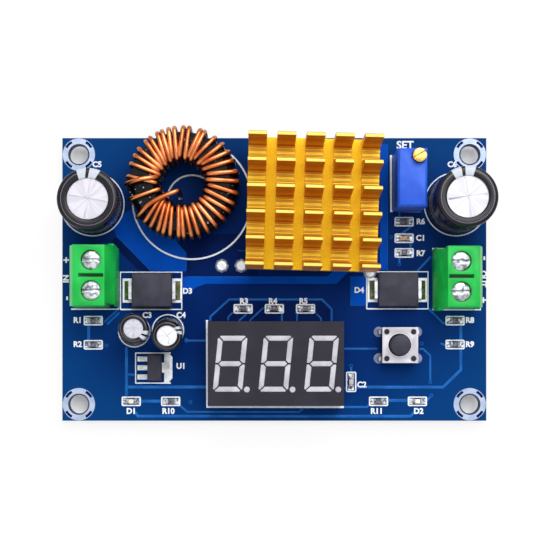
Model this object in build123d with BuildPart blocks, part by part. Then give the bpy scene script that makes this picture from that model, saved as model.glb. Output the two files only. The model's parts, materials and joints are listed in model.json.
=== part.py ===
from build123d import *
from math import cos, hypot, radians, sin, sqrt, tan
import os

# Adjustable boost converter module: one bare circuit board with a screw terminal at each end,
# a ring choke, a power regulator under a cross-cut heatsink, and a three-digit meter.
# Millimetres. The origin is at the centre of the four mounting holes, on the underside of the
# board. +X runs from the input terminal to the output terminal, +Z up through the parts.

# Board
board_length = 72.0
board_width = 48.0
board_thickness = 1.6
mount_spacing_x = 66.4
mount_spacing_y = 42.4
mount_hole_radius = 1.6
pad_thickness = 0.1
lead_below = 1.8
lead_clearance = 0.12
hole_sides = 6
lead_sides = 8
solder_sides = 6
solder_height = 0.8
solder_spread = 0.5
solder_bevel = 0.4
solder_gap = 0.03
dome_radius = 1.2
dome_sides = 8
dome_height = 0.5
dome_taper = 35
dome_spots = [(-8.91, 2.32), (-5.61, 2.32), (16.24, 1.21)]

# Ring choke, lying flat
choke_centre = (-15.3, 15.5)
core_outer_radius = 8.65
core_inner_radius = 4.825
core_height = 6.35
core_chamfer = 0.8
wire_radius = 0.35
wire_sides = 6
wire_gap = 0.05
choke_standoff = 0.1
choke_turns = 34
first_turn_angle = 218
winding_sweep = 324
lead_in_offset = (-0.64, -1.47)

# Power regulator and the heatsink on it
regulator_centre = (6.3, 12.05)
regulator_width = 10.0
regulator_depth = 9.2
regulator_height = 4.5
regulator_taper = 5
tab_thickness = 1.3
tab_reach = 1.6
power_lead_pitch = 1.7
power_lead_width = 0.8
power_lead_thickness = 0.5
power_lead_count = 5
power_lead_reach = 1.7
power_lead_foot = 2.2
power_lead_height = 2.9
thermal_pad_thickness = 0.5
pad_margin = 0.5
heatsink_size = 21.8
heatsink_height = 10.0
heatsink_turn = -1.5
heatsink_base = 2.0
fin_count = 6
fin_pitch = 4.18
fin_tip = 0.6
fin_root = 1.5
fin_ribs = 3
fin_rib_depth = 0.16
fin_fillet = 0.5
tooth_pitch = 4.69
cross_cut_count = 4
cross_cut_width = 1.68
cross_cut_floor = 1.9

# Rectifier diodes
diode_spots = {"input": (-20.7, -1.9), "output": (20.9, -1.8)}
diode_length = 6.9
diode_width = 5.9
diode_height = 2.3
diode_taper = 8
diode_lead_width = 3.0
diode_lead_thickness = 0.25
diode_lead_reach = 0.5
diode_lead_foot = 1.3
diode_lead_height = 1.3
diode_pad_overhang = 1.1
diode_pad_width = 4.1

# Screw terminals with rising cages
terminal_spots = {"input": (-30.11, 0.2, 0), "output": (30.51, 0.0, 180)}
terminal_length = 10.0
terminal_depth = 7.5
terminal_height = 10.0
terminal_top = 5.2
outer_shoulder = 7.4
inner_shoulder = 6.5
outer_slope = 0.8
pole_pitch = 5.0
chamber_floor = 0.9
cage_width = 3.7
cage_depth = 4.2
cage_wall = 0.5
cage_lid = 0.6
cage_jaw = 0.7
cage_clearance = 0.15
cage_play = 0.05
cage_lift = 2.5
wire_space = 2.7
contact_thickness = 0.7
contact_width = 2.2
pin_width = 1.0
pin_setback = 0.3
wire_window = 3.2
clamp_screw_radius = 1.1
clamp_head_radius = 1.55
clamp_head_height = 1.0
clamp_slot_width = 0.5
clamp_slot_depth = 0.55
thread_sides = 12
thread_clearance = 0.08
head_clearance = 0.1
divider_slot_length = 4.1
divider_slot_width = 0.63
divider_slot_depth = 1.1
rib_width = 1.0
rib_height = 0.4
rib_inset = 0.8

# Electrolytic capacitors
large_capacitor_radius = 5.0
large_capacitor_height = 13.3
large_lead_spacing = 5.0
large_lead_radius = 0.4
large_vent_radius = 3.4
small_capacitor_radius = 2.5
small_capacitor_height = 11.5
small_lead_spacing = 2.0
small_lead_radius = 0.25
small_vent_radius = 1.65
capacitor_spots = {
    "input_capacitor": (-30.88, 12.7, 80),
    "output_capacitor": (30.85, 12.7, 98),
    "left_small_capacitor": (-23.6, -8.8, 90),
    "right_small_capacitor": (-17.95, -8.9, 100),
}
capacitor_standoff = 0.3
sleeve_wall = 0.35
sleeve_gap = 0.02
sleeve_chamfer = 0.45
groove_height = 1.9
groove_half_width = 0.5
groove_depth = 0.25
seal_height = 1.4
vent_cut_width = 0.3
vent_cut_depth = 0.15
can_sides = 32

# Multi-turn trimmer
trimmer_spot = (22.5, 16.2)
trimmer_width = 4.83
trimmer_length = 9.53
trimmer_height = 10.03
trimmer_standoff = 0.4
trimmer_foot = 1.0
trimmer_chamfer = 0.35
trimmer_pin_pitch = 2.54
trimmer_pin_radius = 0.25
adjuster_offset = (1.1, 3.5)
adjuster_radius = 1.15
adjuster_neck_radius = 0.7
adjuster_recess = 1.2
adjuster_proud = 1.0
adjuster_neck_length = 3.0
adjuster_slot_width = 0.45
adjuster_slot_depth = 0.5
adjuster_slot_turn = 30
running_clearance = 0.08

# Push button
button_spot = (21.08, -11.2)
button_size = 6.0
button_base_height = 3.1
button_cover_thickness = 0.3
button_cover_skirt = 1.2
button_leg_span_x = 6.5
button_leg_span_y = 4.5
button_leg_width = 0.7
button_leg_thickness = 0.3
button_leg_height = 1.0
plunger_radius = 1.7
plunger_flange_radius = 2.2
plunger_flange_height = 0.6
plunger_nub_radius = 0.6
plunger_top = 5.0
plunger_clearance = 0.1
button_gap = 0.02
button_well_radius = 2.4
button_floor = 1.0
dome_disc_radius = 2.2
dome_disc_thickness = 0.1
dome_disc_rise = 0.45
stud_radius = 0.45
stud_inset = 0.75
stud_proud = 0.2
stud_sides = 8

# Three-digit display
display_spot = (0.18, -14.3)
display_length = 22.5
display_width = 14.0
display_height = 7.2
display_wall = 0.4
display_face = 1.0
display_gap = 0.02
digit_count = 3
digit_pitch = 7.55
digit_half_width = 2.45
digit_half_height = 4.63
digit_slant = 5.7
digit_corner = 0.5
segment_width = 0.84
segment_gap = 0.14
point_offset = (2.76, -4.26)
point_radius = 0.5
point_sides = 12
segment_recess = 0.05
display_pin_pitch = 2.54
display_pin_rows = 10.16
display_pin_size = 0.5
display_pin_count = 6

# Small regulator with three leads and a tab
small_regulator_spot = (-20.3, -14.98)
small_regulator_size = (2.5, 4.5, 1.5)
small_regulator_pitch = 1.5
small_regulator_lead = (1.3, 0.5, 0.4)
small_regulator_tab = (1.2, 1.7, 0.4)

# Chips, each 1.6 long: across the board, and one along it
chip_length = 1.6
chip_width = 0.8
chip_height = 0.45
chip_end = 0.35
chip_end_skin = 0.03
chip_pad = (0.95, 0.95)
chip_pad_centre = 0.95
resistor_spots = [
    (-30.75, -7.0), (-30.75, -11.1), (-5.3, -5.0), (0.0, -5.0), (5.3, -5.0), (22.05, 9.8),
    (22.05, 4.5), (30.7, -7.0), (30.7, -11.05), (17.7, -20.7), (-17.6, -20.7),
]
chip_capacitor_spots = [(22.05, 7.0, 0), (13.05, -17.4, 90)]
lamp_spots = [(-24.3, -20.7), (24.3, -20.7)]

# Display driver on the underside
driver_spot = (0.18, -14.3)
driver_size = (9.9, 3.9, 1.4)
driver_lead_count = 8
driver_lead_pitch = 1.27
driver_lead_width = 0.42
driver_lead_thickness = 0.2
driver_lead_reach = 1.05


def place(x, y, turn=0, height=0):
    """A plane on top of the board, or height above it."""
    along = (cos(radians(turn)), sin(radians(turn)), 0)
    return Plane((x, y, board_thickness + height), x_dir=along)


def front(base):
    """The base plane's X across and Z up."""
    return Plane(base.origin, x_dir=base.x_dir, z_dir=base.y_dir * -1)


def side(base):
    """The base plane's Y across and Z up."""
    return Plane(base.origin, x_dir=base.y_dir, z_dir=base.x_dir)


def save(piece, name):
    piece.part.label = name
    export_step(piece.part, f"parts/{name}.step")


def shifted(base, x=0, y=0, z=0):
    return Plane(base.from_local_coords((x, y, z)), x_dir=base.x_dir, z_dir=base.z_dir)


def row(count, pitch):
    return [(index - (count - 1) / 2) * pitch for index in range(count)]


def bent_strip(points, thickness):
    """The section of a metal strip that lies to the left of a path through points."""
    with BuildSketch(mode=Mode.PRIVATE) as strip:
        with BuildLine():
            Polyline(*points)
            offset(amount=thickness, side=Side.LEFT, kind=Kind.INTERSECTION)
        make_face()
    return strip.sketch_local


# Where wires and pins go through the board: x, y and the radius that each one fills
through_leads = []


def drill(base, points, radius):
    for x, y in points:
        spot = base.from_local_coords((x, y, 0))
        through_leads.append((spot.X, spot.Y, radius))


def capacitor_leads(name):
    """Half the lead spacing and the lead's radius."""
    if "small" in name:
        return small_lead_spacing / 2, small_lead_radius
    return large_lead_spacing / 2, large_lead_radius


def display_pin_spots():
    spots = []
    for row in (-1, 1):
        for index in range(display_pin_count):
            x = (index - (display_pin_count - 1) / 2) * display_pin_pitch
            spots.append((x, row * display_pin_rows / 2))
    return spots[:-1]


wire_outer = core_outer_radius + wire_gap + wire_radius
pin_x = cage_depth / 2 + pin_setback + contact_thickness / 2
lead_out_angle = radians(first_turn_angle + winding_sweep)
lead_out_offset = (wire_outer * cos(lead_out_angle), wire_outer * sin(lead_out_angle))
drill(place(*choke_centre), [lead_in_offset, lead_out_offset], wire_radius)
for x, y, turn in terminal_spots.values():
    poles = [(pin_x, -pole_pitch / 2), (pin_x, pole_pitch / 2)]
    drill(place(x, y, turn), poles, hypot(pin_width, contact_thickness) / 2)
for name, (x, y, turn) in capacitor_spots.items():
    half_spacing, lead_radius = capacitor_leads(name)
    drill(place(x, y, turn), [(-half_spacing, 0), (half_spacing, 0)], lead_radius)
trimmer_pin_spots = [(0, -trimmer_pin_pitch), (0, 0), (0, trimmer_pin_pitch)]
drill(place(*trimmer_spot), trimmer_pin_spots, trimmer_pin_radius)
leg_corners = [(i * button_leg_span_x / 2, j * button_leg_span_y / 2) for i in (-1, 1) for j in (-1, 1)]
drill(place(*button_spot), leg_corners, hypot(button_leg_width, button_leg_thickness) / 2)
drill(place(*display_spot), display_pin_spots(), display_pin_size / sqrt(2))

os.makedirs("parts", exist_ok=True)

# Circuit board, with six-sided holes under the parts where solder fills them
with BuildPart() as circuit_board:
    with BuildSketch():
        Rectangle(board_length, board_width)
        with GridLocations(mount_spacing_x, mount_spacing_y, 2, 2):
            Circle(mount_hole_radius, mode=Mode.SUBTRACT)
        for x, y, radius in through_leads:
            with Locations((x, y)):
                RegularPolygon(radius + lead_clearance, hole_sides, major_radius=False, mode=Mode.SUBTRACT)
    extrude(amount=board_thickness)
save(circuit_board, "circuit_board")

# Solder joints round the trimmed leads
with BuildPart() as solder_joints:
    with BuildSketch():
        for x, y, radius in through_leads:
            with Locations((x, y)):
                RegularPolygon(radius + solder_spread, solder_sides)
    extrude(amount=-solder_height)
    chamfer(solder_joints.edges().group_by(Axis.Z)[0], solder_bevel)
    with BuildSketch():
        for x, y, radius in through_leads:
            with Locations((x, y)):
                RegularPolygon(radius + solder_gap, solder_sides, major_radius=False)
    extrude(amount=-solder_height, mode=Mode.SUBTRACT)
save(solder_joints, "solder_joints")

# Tinned pads under the surface-mounted parts, and the solder domes on three bare vias
with BuildPart() as surface_pads:
    with BuildSketch(Plane.XY.offset(board_thickness)):
        for x, y in resistor_spots + lamp_spots:
            with Locations((x - chip_pad_centre, y), (x + chip_pad_centre, y)):
                Rectangle(*chip_pad)
        for x, y, turn in chip_capacitor_spots:
            with Locations(Location((x, y), turn)):
                with Locations((-chip_pad_centre, 0), (chip_pad_centre, 0)):
                    Rectangle(*chip_pad)
        for x, y in diode_spots.values():
            reach = diode_length / 2 + diode_lead_reach
            pad_length = diode_lead_foot + diode_pad_overhang
            pad_x = reach - diode_lead_foot + pad_length / 2
            with Locations((x - pad_x, y), (x + pad_x, y)):
                Rectangle(pad_length, diode_pad_width)
        with Locations(regulator_centre):
            with Locations((0, tab_reach / 2)):
                Rectangle(regulator_width, regulator_depth + tab_reach)
            foot_y = -regulator_depth / 2 - power_lead_reach - power_lead_foot / 2
            with Locations((0, foot_y)):
                with GridLocations(power_lead_pitch, 1, power_lead_count, 1):
                    Rectangle(power_lead_width, power_lead_foot)
        with Locations(small_regulator_spot):
            lead_x = -(small_regulator_size[0] + small_regulator_lead[0]) / 2
            with Locations((lead_x, 0)):
                with GridLocations(1, small_regulator_pitch, 1, 3):
                    Rectangle(*small_regulator_lead[:2])
            tab_x = (small_regulator_size[0] + small_regulator_tab[0]) / 2
            with Locations((tab_x, 0)):
                Rectangle(*small_regulator_tab[:2])
    extrude(amount=pad_thickness)
    with BuildSketch(Plane.XY.offset(board_thickness)):
        with Locations(*dome_spots):
            RegularPolygon(dome_radius, dome_sides)
    extrude(amount=dome_height, taper=dome_taper)
save(surface_pads, "surface_pads")

# Choke core: a coated ring with its corners taken off
core_floor = board_thickness + choke_standoff + 2 * wire_radius + wire_gap
with BuildPart() as inductor_core:
    with BuildSketch(Plane.XY.offset(core_floor)):
        with Locations(choke_centre):
            Circle(core_outer_radius)
            Circle(core_inner_radius, mode=Mode.SUBTRACT)
    extrude(amount=core_height)
    rims = inductor_core.edges().filter_by(GeomType.CIRCLE).sort_by(SortBy.RADIUS)[-2:]
    chamfer(rims, core_chamfer)
save(inductor_core, "inductor_core")


def winding_point(radius, angle, height):
    x = choke_centre[0] + radius * cos(radians(angle))
    y = choke_centre[1] + radius * sin(radians(angle))
    return x, y, height


def winding_points():
    """One wire: up in the hole, over all the turns, then round the core step by step and down outside."""
    inner = core_inner_radius - wire_gap - wire_radius
    low = core_floor - wire_gap - wire_radius
    high = core_floor + core_height + wire_gap + wire_radius
    over = high + wire_gap + 2 * wire_radius
    cut = core_chamfer + (2 - sqrt(2)) * (wire_gap + wire_radius)
    step = winding_sweep / choke_turns
    lead_x, lead_y = choke_centre[0] + lead_in_offset[0], choke_centre[1] + lead_in_offset[1]
    points = [(lead_x, lead_y, -lead_below), (lead_x, lead_y, over)]
    points.append(winding_point(wire_outer - cut, first_turn_angle, over))
    points.append(winding_point(wire_outer, first_turn_angle, over - cut))
    for turn in range(choke_turns):
        angle = first_turn_angle + turn * step
        points.append(winding_point(wire_outer, angle, low + cut))
        points.append(winding_point(wire_outer - cut, angle, low))
        points.append(winding_point(inner, angle + step / 2, low))
        points.append(winding_point(inner, angle + step / 2, high))
        points.append(winding_point(wire_outer - cut, angle + step, high))
        points.append(winding_point(wire_outer, angle + step, high - cut))
    points.append(winding_point(wire_outer, first_turn_angle + winding_sweep, -lead_below))
    return points


# Choke winding: one six-sided wire swept round the core
with BuildPart() as inductor_winding:
    route = winding_points()
    with BuildLine():
        Polyline(*route)
    with BuildSketch(Plane(route[0])):
        RegularPolygon(wire_radius, wire_sides)
    sweep(transition=Transition.RIGHT)
save(inductor_winding, "inductor_winding")

# Regulator lead frame: a tab under the case and five leads bent down to the board
regulator_base = place(*regulator_centre, height=pad_thickness)
lead_start = -regulator_depth / 2
lead_knee = lead_start - power_lead_reach
power_lead = bent_strip(
    [
        (lead_start, power_lead_height),
        (lead_knee + power_lead_thickness, power_lead_height),
        (lead_knee, power_lead_thickness),
        (lead_knee - power_lead_foot, power_lead_thickness),
    ],
    power_lead_thickness,
)
with BuildPart() as regulator_leads:
    with BuildSketch(regulator_base):
        with Locations((0, tab_reach / 2)):
            Rectangle(regulator_width, regulator_depth + tab_reach)
    extrude(amount=tab_thickness)
    with BuildSketch(*[side(shifted(regulator_base, x)) for x in row(power_lead_count, power_lead_pitch)]):
        add(power_lead)
    extrude(amount=power_lead_width / 2, both=True)
save(regulator_leads, "regulator_leads")

# Regulator case, moulded on the tab
with BuildPart() as regulator_case:
    with BuildSketch(shifted(regulator_base, z=tab_thickness)):
        Rectangle(regulator_width, regulator_depth)
    extrude(amount=regulator_height - tab_thickness, taper=regulator_taper)
save(regulator_case, "regulator_case")

# Thermal pad between the case and the heatsink
with BuildPart() as thermal_pad:
    with BuildSketch(shifted(regulator_base, z=regulator_height)):
        Rectangle(regulator_width - 2 * pad_margin, regulator_depth - 2 * pad_margin)
    extrude(amount=thermal_pad_thickness)
save(thermal_pad, "thermal_pad")


def fin_outline(centre):
    """One fin's section, ribbed on both flanks, from the base up."""
    steps = 2 * fin_ribs
    foot = heatsink_base + fin_fillet
    right = [(fin_root / 2 + fin_fillet, heatsink_base)]
    for index in range(steps + 1):
        share = index / steps
        half = (fin_root + (fin_tip - fin_root) * share) / 2
        if index % 2 == 1:
            half += fin_rib_depth
        right.append((half, foot + share * (heatsink_height - foot)))
    left = [(-x, height) for x, height in reversed(right)]
    return [(centre + x, height) for x, height in right + left]


# Heatsink: extruded fins, then cut across into teeth
heatsink_seat = pad_thickness + regulator_height + thermal_pad_thickness
heatsink_base_plane = place(*regulator_centre, heatsink_turn, heatsink_seat)
with BuildPart() as heatsink:
    with BuildSketch(side(heatsink_base_plane)):
        with Locations((0, heatsink_base / 2)):
            Rectangle(heatsink_size, heatsink_base)
        for centre in row(fin_count, fin_pitch):
            Polygon(*fin_outline(centre))
        with Locations((0, heatsink_height / 2)):
            Rectangle(heatsink_size, heatsink_height, mode=Mode.INTERSECT)
    extrude(amount=heatsink_size / 2, both=True)
    with BuildSketch(shifted(heatsink_base_plane, z=cross_cut_floor)):
        with GridLocations(tooth_pitch, 1, cross_cut_count, 1):
            Rectangle(cross_cut_width, 2 * heatsink_size)
    extrude(amount=heatsink_height, mode=Mode.SUBTRACT)
save(heatsink, "heatsink")

# Rectifier diodes: a moulded case and two leads folded under it
diode_lead_end = diode_length / 2 + diode_lead_reach
diode_lead = bent_strip(
    [
        (diode_lead_end - diode_lead_foot, 0),
        (diode_lead_end, 0),
        (diode_lead_end, diode_lead_height),
        (diode_length / 2, diode_lead_height),
    ],
    diode_lead_thickness,
)
for name, (x, y) in diode_spots.items():
    diode_base = place(x, y, height=pad_thickness)
    diode_middle = shifted(diode_base, z=diode_height / 2)
    with BuildPart() as diode_case:
        with BuildSketch(diode_middle):
            Rectangle(diode_length, diode_width)
        extrude(amount=diode_height / 2, taper=diode_taper)
        with BuildSketch(diode_middle):
            Rectangle(diode_length, diode_width)
        extrude(amount=diode_lead_thickness - diode_height / 2, taper=diode_taper)
    save(diode_case, f"{name}_diode_case")
    with BuildPart() as diode_leads:
        with BuildSketch(front(diode_base), front(place(x, y, 180, pad_thickness))):
            add(diode_lead)
        extrude(amount=diode_lead_width / 2, both=True)
    save(diode_leads, f"{name}_diode_leads")

# Heights inside a terminal, from the board up
cage_low = chamber_floor + cage_play
jaw_top = cage_low + cage_jaw
contact_low = jaw_top + wire_space
contact_top = contact_low + contact_thickness
lid_low = contact_top + cage_play
cage_top = lid_low + cage_lid
chamber_top = cage_top + cage_lift + cage_play
head_low = chamber_top + cage_play
contact_tip = cage_depth / 2 - pin_setback
contact_end = pin_x + contact_thickness / 2


def terminal_outline():
    """The housing's section: steep inner slope towards the parts, wire side at -X."""
    half = terminal_depth / 2
    crest = outer_slope - half
    return [
        (-half, 0),
        (half, 0),
        (half, inner_shoulder),
        (crest + terminal_top, terminal_height),
        (crest, terminal_height),
        (-half, outer_shoulder),
    ]


def raised(poles, height):
    return [shifted(pole, z=height) for pole in poles]


for name, (x, y, turn) in terminal_spots.items():
    terminal_base = place(x, y, turn)
    poles = [shifted(terminal_base, y=offset) for offset in (pole_pitch / 2, -pole_pitch / 2)]

    # Housing: chambers, wire windows, contact slots, screw wells, and a rib and groove on its ends
    with BuildPart() as terminal_housing:
        with BuildSketch(front(terminal_base)):
            Polygon(*terminal_outline())
        extrude(amount=terminal_length / 2, both=True)
        with BuildSketch(*raised(poles, chamber_floor)):
            Rectangle(cage_depth + 2 * cage_clearance, cage_width + 2 * cage_clearance)
        extrude(amount=chamber_top - chamber_floor, mode=Mode.SUBTRACT)
        with BuildSketch(*[side(pole) for pole in raised(poles, jaw_top + wire_space / 2)]):
            Rectangle(wire_window, wire_space)
        extrude(amount=-terminal_depth, mode=Mode.SUBTRACT)
        with BuildSketch(*poles):
            with Locations(((cage_depth / 2 + contact_end + cage_clearance) / 2, 0)):
                slot_length = contact_end + cage_clearance - cage_depth / 2
                Rectangle(slot_length, contact_width + 2 * cage_clearance)
        extrude(amount=lid_low, mode=Mode.SUBTRACT)
        with BuildSketch(*raised(poles, chamber_top)):
            Circle(clamp_head_radius + head_clearance)
        extrude(amount=terminal_height, mode=Mode.SUBTRACT)
        with BuildSketch(shifted(terminal_base, z=terminal_height - divider_slot_depth)):
            Rectangle(divider_slot_length, divider_slot_width)
        extrude(amount=terminal_height, mode=Mode.SUBTRACT)
        rib_x = terminal_depth / 2 - rib_inset
        with BuildSketch(terminal_base):
            with Locations((rib_x, terminal_length / 2 + rib_height / 2)):
                Rectangle(rib_width, rib_height)
        extrude(amount=inner_shoulder)
        with BuildSketch(terminal_base):
            with Locations((rib_x, -terminal_length / 2)):
                Rectangle(rib_width + 2 * cage_clearance, 2 * rib_height)
        extrude(amount=terminal_height, mode=Mode.SUBTRACT)
    save(terminal_housing, f"{name}_terminal_housing")

    # Contacts: a pin through the board with a tongue over the wire space
    with BuildPart() as terminal_contacts:
        with BuildSketch(*raised(poles, -board_thickness - lead_below)):
            with Locations((pin_x, 0)):
                Rectangle(contact_thickness, pin_width)
        extrude(amount=board_thickness + lead_below + contact_top)
        with BuildSketch(*raised(poles, contact_low)):
            with Locations(((contact_end - contact_tip) / 2, 0)):
                Rectangle(contact_end + contact_tip, contact_width)
        extrude(amount=contact_thickness)
    save(terminal_contacts, f"{name}_terminal_contacts")

    for number, pole in enumerate(poles, 1):
        # Cage: its jaw lifts the wire against the tongue
        with BuildPart() as terminal_cage:
            with BuildSketch(side(pole)):
                with Locations((0, (cage_low + cage_top) / 2)):
                    Rectangle(cage_width, cage_top - cage_low)
                with Locations((0, (jaw_top + lid_low) / 2)):
                    Rectangle(cage_width - 2 * cage_wall, lid_low - jaw_top, mode=Mode.SUBTRACT)
            extrude(amount=cage_depth / 2, both=True)
            with BuildSketch(shifted(pole, z=lid_low)):
                RegularPolygon(clamp_screw_radius + thread_clearance, thread_sides, major_radius=False)
            extrude(amount=cage_lid, mode=Mode.SUBTRACT)
        save(terminal_cage, f"{name}_terminal_cage_{number}")

        # Clamp screw: its tip bears on the tongue
        with BuildPart() as terminal_screw:
            with BuildSketch(shifted(pole, z=lid_low)):
                RegularPolygon(clamp_screw_radius, thread_sides)
            extrude(amount=head_low - lid_low)
            with BuildSketch(shifted(pole, z=head_low)):
                Circle(clamp_head_radius)
            extrude(amount=clamp_head_height)
            with BuildSketch(shifted(pole, z=head_low + clamp_head_height - clamp_slot_depth)):
                Rectangle(3 * clamp_head_radius, clamp_slot_width)
            extrude(amount=clamp_head_height, mode=Mode.SUBTRACT)
        save(terminal_screw, f"{name}_terminal_screw_{number}")


def sleeve_outline(radius, height, vent_radius):
    """The shrunk sleeve's section: a rolled groove near its foot and a lip over the can's top."""
    bore = radius - sleeve_wall
    groove = capacitor_standoff + groove_height
    return [
        (bore, capacitor_standoff),
        (radius, capacitor_standoff),
        (radius, groove - groove_half_width),
        (radius - groove_depth, groove),
        (radius, groove + groove_half_width),
        (radius, height - sleeve_chamfer),
        (radius - sleeve_chamfer, height),
        (vent_radius, height),
        (vent_radius, height - sleeve_wall),
        (bore, height - sleeve_wall),
    ]


# Electrolytic capacitors, each a sleeve, a can, a rubber seal and two leads
for name, (x, y, turn) in capacitor_spots.items():
    half_spacing, lead_radius = capacitor_leads(name)
    if "small" in name:
        radius, height, vent_radius = small_capacitor_radius, small_capacitor_height, small_vent_radius
    else:
        radius, height, vent_radius = large_capacitor_radius, large_capacitor_height, large_vent_radius
    can_radius = radius - sleeve_wall - sleeve_gap
    can_top = height - sleeve_wall - sleeve_gap
    capacitor_base = place(x, y, turn)

    with BuildPart() as capacitor_sleeve:
        with BuildSketch(front(capacitor_base)):
            Polygon(*sleeve_outline(radius, height, vent_radius))
        revolve(axis=Axis(capacitor_base.origin, capacitor_base.z_dir))
    save(capacitor_sleeve, f"{name}_sleeve")

    with BuildPart() as capacitor_can:
        with BuildSketch(shifted(capacitor_base, z=capacitor_standoff + seal_height)):
            RegularPolygon(can_radius, can_sides)
        extrude(amount=can_top - capacitor_standoff - seal_height)
        with BuildSketch(shifted(capacitor_base, z=can_top - vent_cut_depth)):
            Rectangle(2 * vent_radius - 2 * vent_cut_width, vent_cut_width)
            Rectangle(vent_cut_width, 2 * vent_radius - 2 * vent_cut_width)
        extrude(amount=vent_cut_depth, mode=Mode.SUBTRACT)
    save(capacitor_can, f"{name}_can")

    with BuildPart() as capacitor_seal:
        with BuildSketch(shifted(capacitor_base, z=capacitor_standoff)):
            RegularPolygon(can_radius, can_sides)
        extrude(amount=seal_height)
    save(capacitor_seal, f"{name}_seal")

    with BuildPart() as capacitor_wires:
        with BuildSketch(shifted(capacitor_base, z=-board_thickness - lead_below)):
            with Locations((-half_spacing, 0), (half_spacing, 0)):
                RegularPolygon(lead_radius, lead_sides)
        extrude(amount=board_thickness + lead_below + capacitor_standoff)
    save(capacitor_wires, f"{name}_leads")

# Trimmer housing on two feet, with a stepped bore for the adjuster
trimmer_base = place(*trimmer_spot)
adjuster_seat = trimmer_height - adjuster_recess
with BuildPart() as trimmer_housing:
    with BuildSketch(shifted(trimmer_base, z=trimmer_standoff)):
        Rectangle(trimmer_width, trimmer_length)
    extrude(amount=trimmer_height - trimmer_standoff)
    chamfer(trimmer_housing.faces().sort_by(Axis.Z)[-1].edges(), trimmer_chamfer)
    with BuildSketch(trimmer_base):
        with GridLocations(1, trimmer_length - trimmer_foot, 1, 2):
            Rectangle(trimmer_width, trimmer_foot)
    extrude(amount=trimmer_standoff)
    with BuildSketch(shifted(trimmer_base, *adjuster_offset, adjuster_seat)):
        Circle(adjuster_radius + running_clearance)
    extrude(amount=trimmer_height, mode=Mode.SUBTRACT)
    with BuildSketch(shifted(trimmer_base, *adjuster_offset, adjuster_seat - adjuster_neck_length)):
        RegularPolygon(adjuster_neck_radius + running_clearance, lead_sides, major_radius=False)
    extrude(amount=adjuster_neck_length, mode=Mode.SUBTRACT)
save(trimmer_housing, "trimmer_housing")

# Trimmer screw, with its driver slot
adjuster_top = trimmer_height + adjuster_proud
with BuildPart() as trimmer_screw:
    with BuildSketch(shifted(trimmer_base, *adjuster_offset, adjuster_seat + running_clearance)):
        Circle(adjuster_radius)
    extrude(amount=adjuster_top - adjuster_seat - running_clearance)
    with BuildSketch(
        shifted(trimmer_base, *adjuster_offset, adjuster_seat - adjuster_neck_length + running_clearance)
    ):
        RegularPolygon(adjuster_neck_radius, lead_sides)
    extrude(amount=adjuster_neck_length)
    with BuildSketch(shifted(trimmer_base, *adjuster_offset, adjuster_top - adjuster_slot_depth)):
        Rectangle(3 * adjuster_radius, adjuster_slot_width, rotation=adjuster_slot_turn)
    extrude(amount=adjuster_top, mode=Mode.SUBTRACT)
save(trimmer_screw, "trimmer_screw")

with BuildPart() as trimmer_pins:
    with BuildSketch(shifted(trimmer_base, z=-board_thickness - lead_below)):
        with Locations(*trimmer_pin_spots):
            RegularPolygon(trimmer_pin_radius, lead_sides)
    extrude(amount=board_thickness + lead_below + trimmer_standoff)
save(trimmer_pins, "trimmer_pins")

# Push button base: a well for the dome, and four studs through the cover
button_base_plane = place(*button_spot)
stud_spots = GridLocations(button_size - 2 * stud_inset, button_size - 2 * stud_inset, 2, 2)
stud_points = [(spot.position.X, spot.position.Y) for spot in stud_spots.local_locations]
button_core = button_size - 2 * (button_cover_thickness + button_gap)
with BuildPart() as button_base:
    with BuildSketch(button_base_plane):
        Rectangle(button_size, button_core)
    extrude(amount=button_base_height)
    with BuildSketch(shifted(button_base_plane, z=button_floor)):
        Circle(button_well_radius)
    extrude(amount=button_base_height, mode=Mode.SUBTRACT)
    with BuildSketch(shifted(button_base_plane, z=button_base_height)):
        with Locations(*stud_points):
            RegularPolygon(stud_radius, stud_sides)
    extrude(amount=button_cover_thickness + stud_proud)
save(button_base, "button_base")

# Stamped cover, folded down on two sides
with BuildPart() as button_cover:
    with BuildSketch(shifted(button_base_plane, z=button_base_height)):
        Rectangle(button_size, button_size)
        Circle(plunger_radius + plunger_clearance, mode=Mode.SUBTRACT)
        with Locations(*stud_points):
            RegularPolygon(stud_radius + button_gap, stud_sides, mode=Mode.SUBTRACT)
    extrude(amount=button_cover_thickness)
    with BuildSketch(shifted(button_base_plane, z=button_base_height)):
        with GridLocations(1, button_size - button_cover_thickness, 1, 2):
            Rectangle(button_size, button_cover_thickness)
    extrude(amount=-button_cover_skirt)
save(button_cover, "button_cover")

# Plunger: a flange trapped under the cover and a nub on the dome
flange_top = button_base_height - button_gap
flange_low = flange_top - plunger_flange_height
dome_top = button_floor + dome_disc_rise + dome_disc_thickness
with BuildPart() as button_plunger:
    with BuildSketch(shifted(button_base_plane, z=flange_low)):
        Circle(plunger_flange_radius)
    extrude(amount=plunger_flange_height)
    with BuildSketch(shifted(button_base_plane, z=flange_top)):
        Circle(plunger_radius)
    extrude(amount=plunger_top - flange_top)
    with BuildSketch(shifted(button_base_plane, z=dome_top + button_gap)):
        RegularPolygon(plunger_nub_radius, stud_sides)
    extrude(amount=flange_low - dome_top - button_gap)
save(button_plunger, "button_plunger")

# Snap dome: a thin dished disc
with BuildPart() as button_dome:
    with BuildSketch(front(shifted(button_base_plane, z=button_floor))):
        Polygon(
            (0, dome_disc_rise),
            (dome_disc_radius, 0),
            (dome_disc_radius, dome_disc_thickness),
            (0, dome_disc_rise + dome_disc_thickness),
        )
    revolve(axis=Axis(button_base_plane.origin, button_base_plane.z_dir))
save(button_dome, "button_dome")

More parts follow.
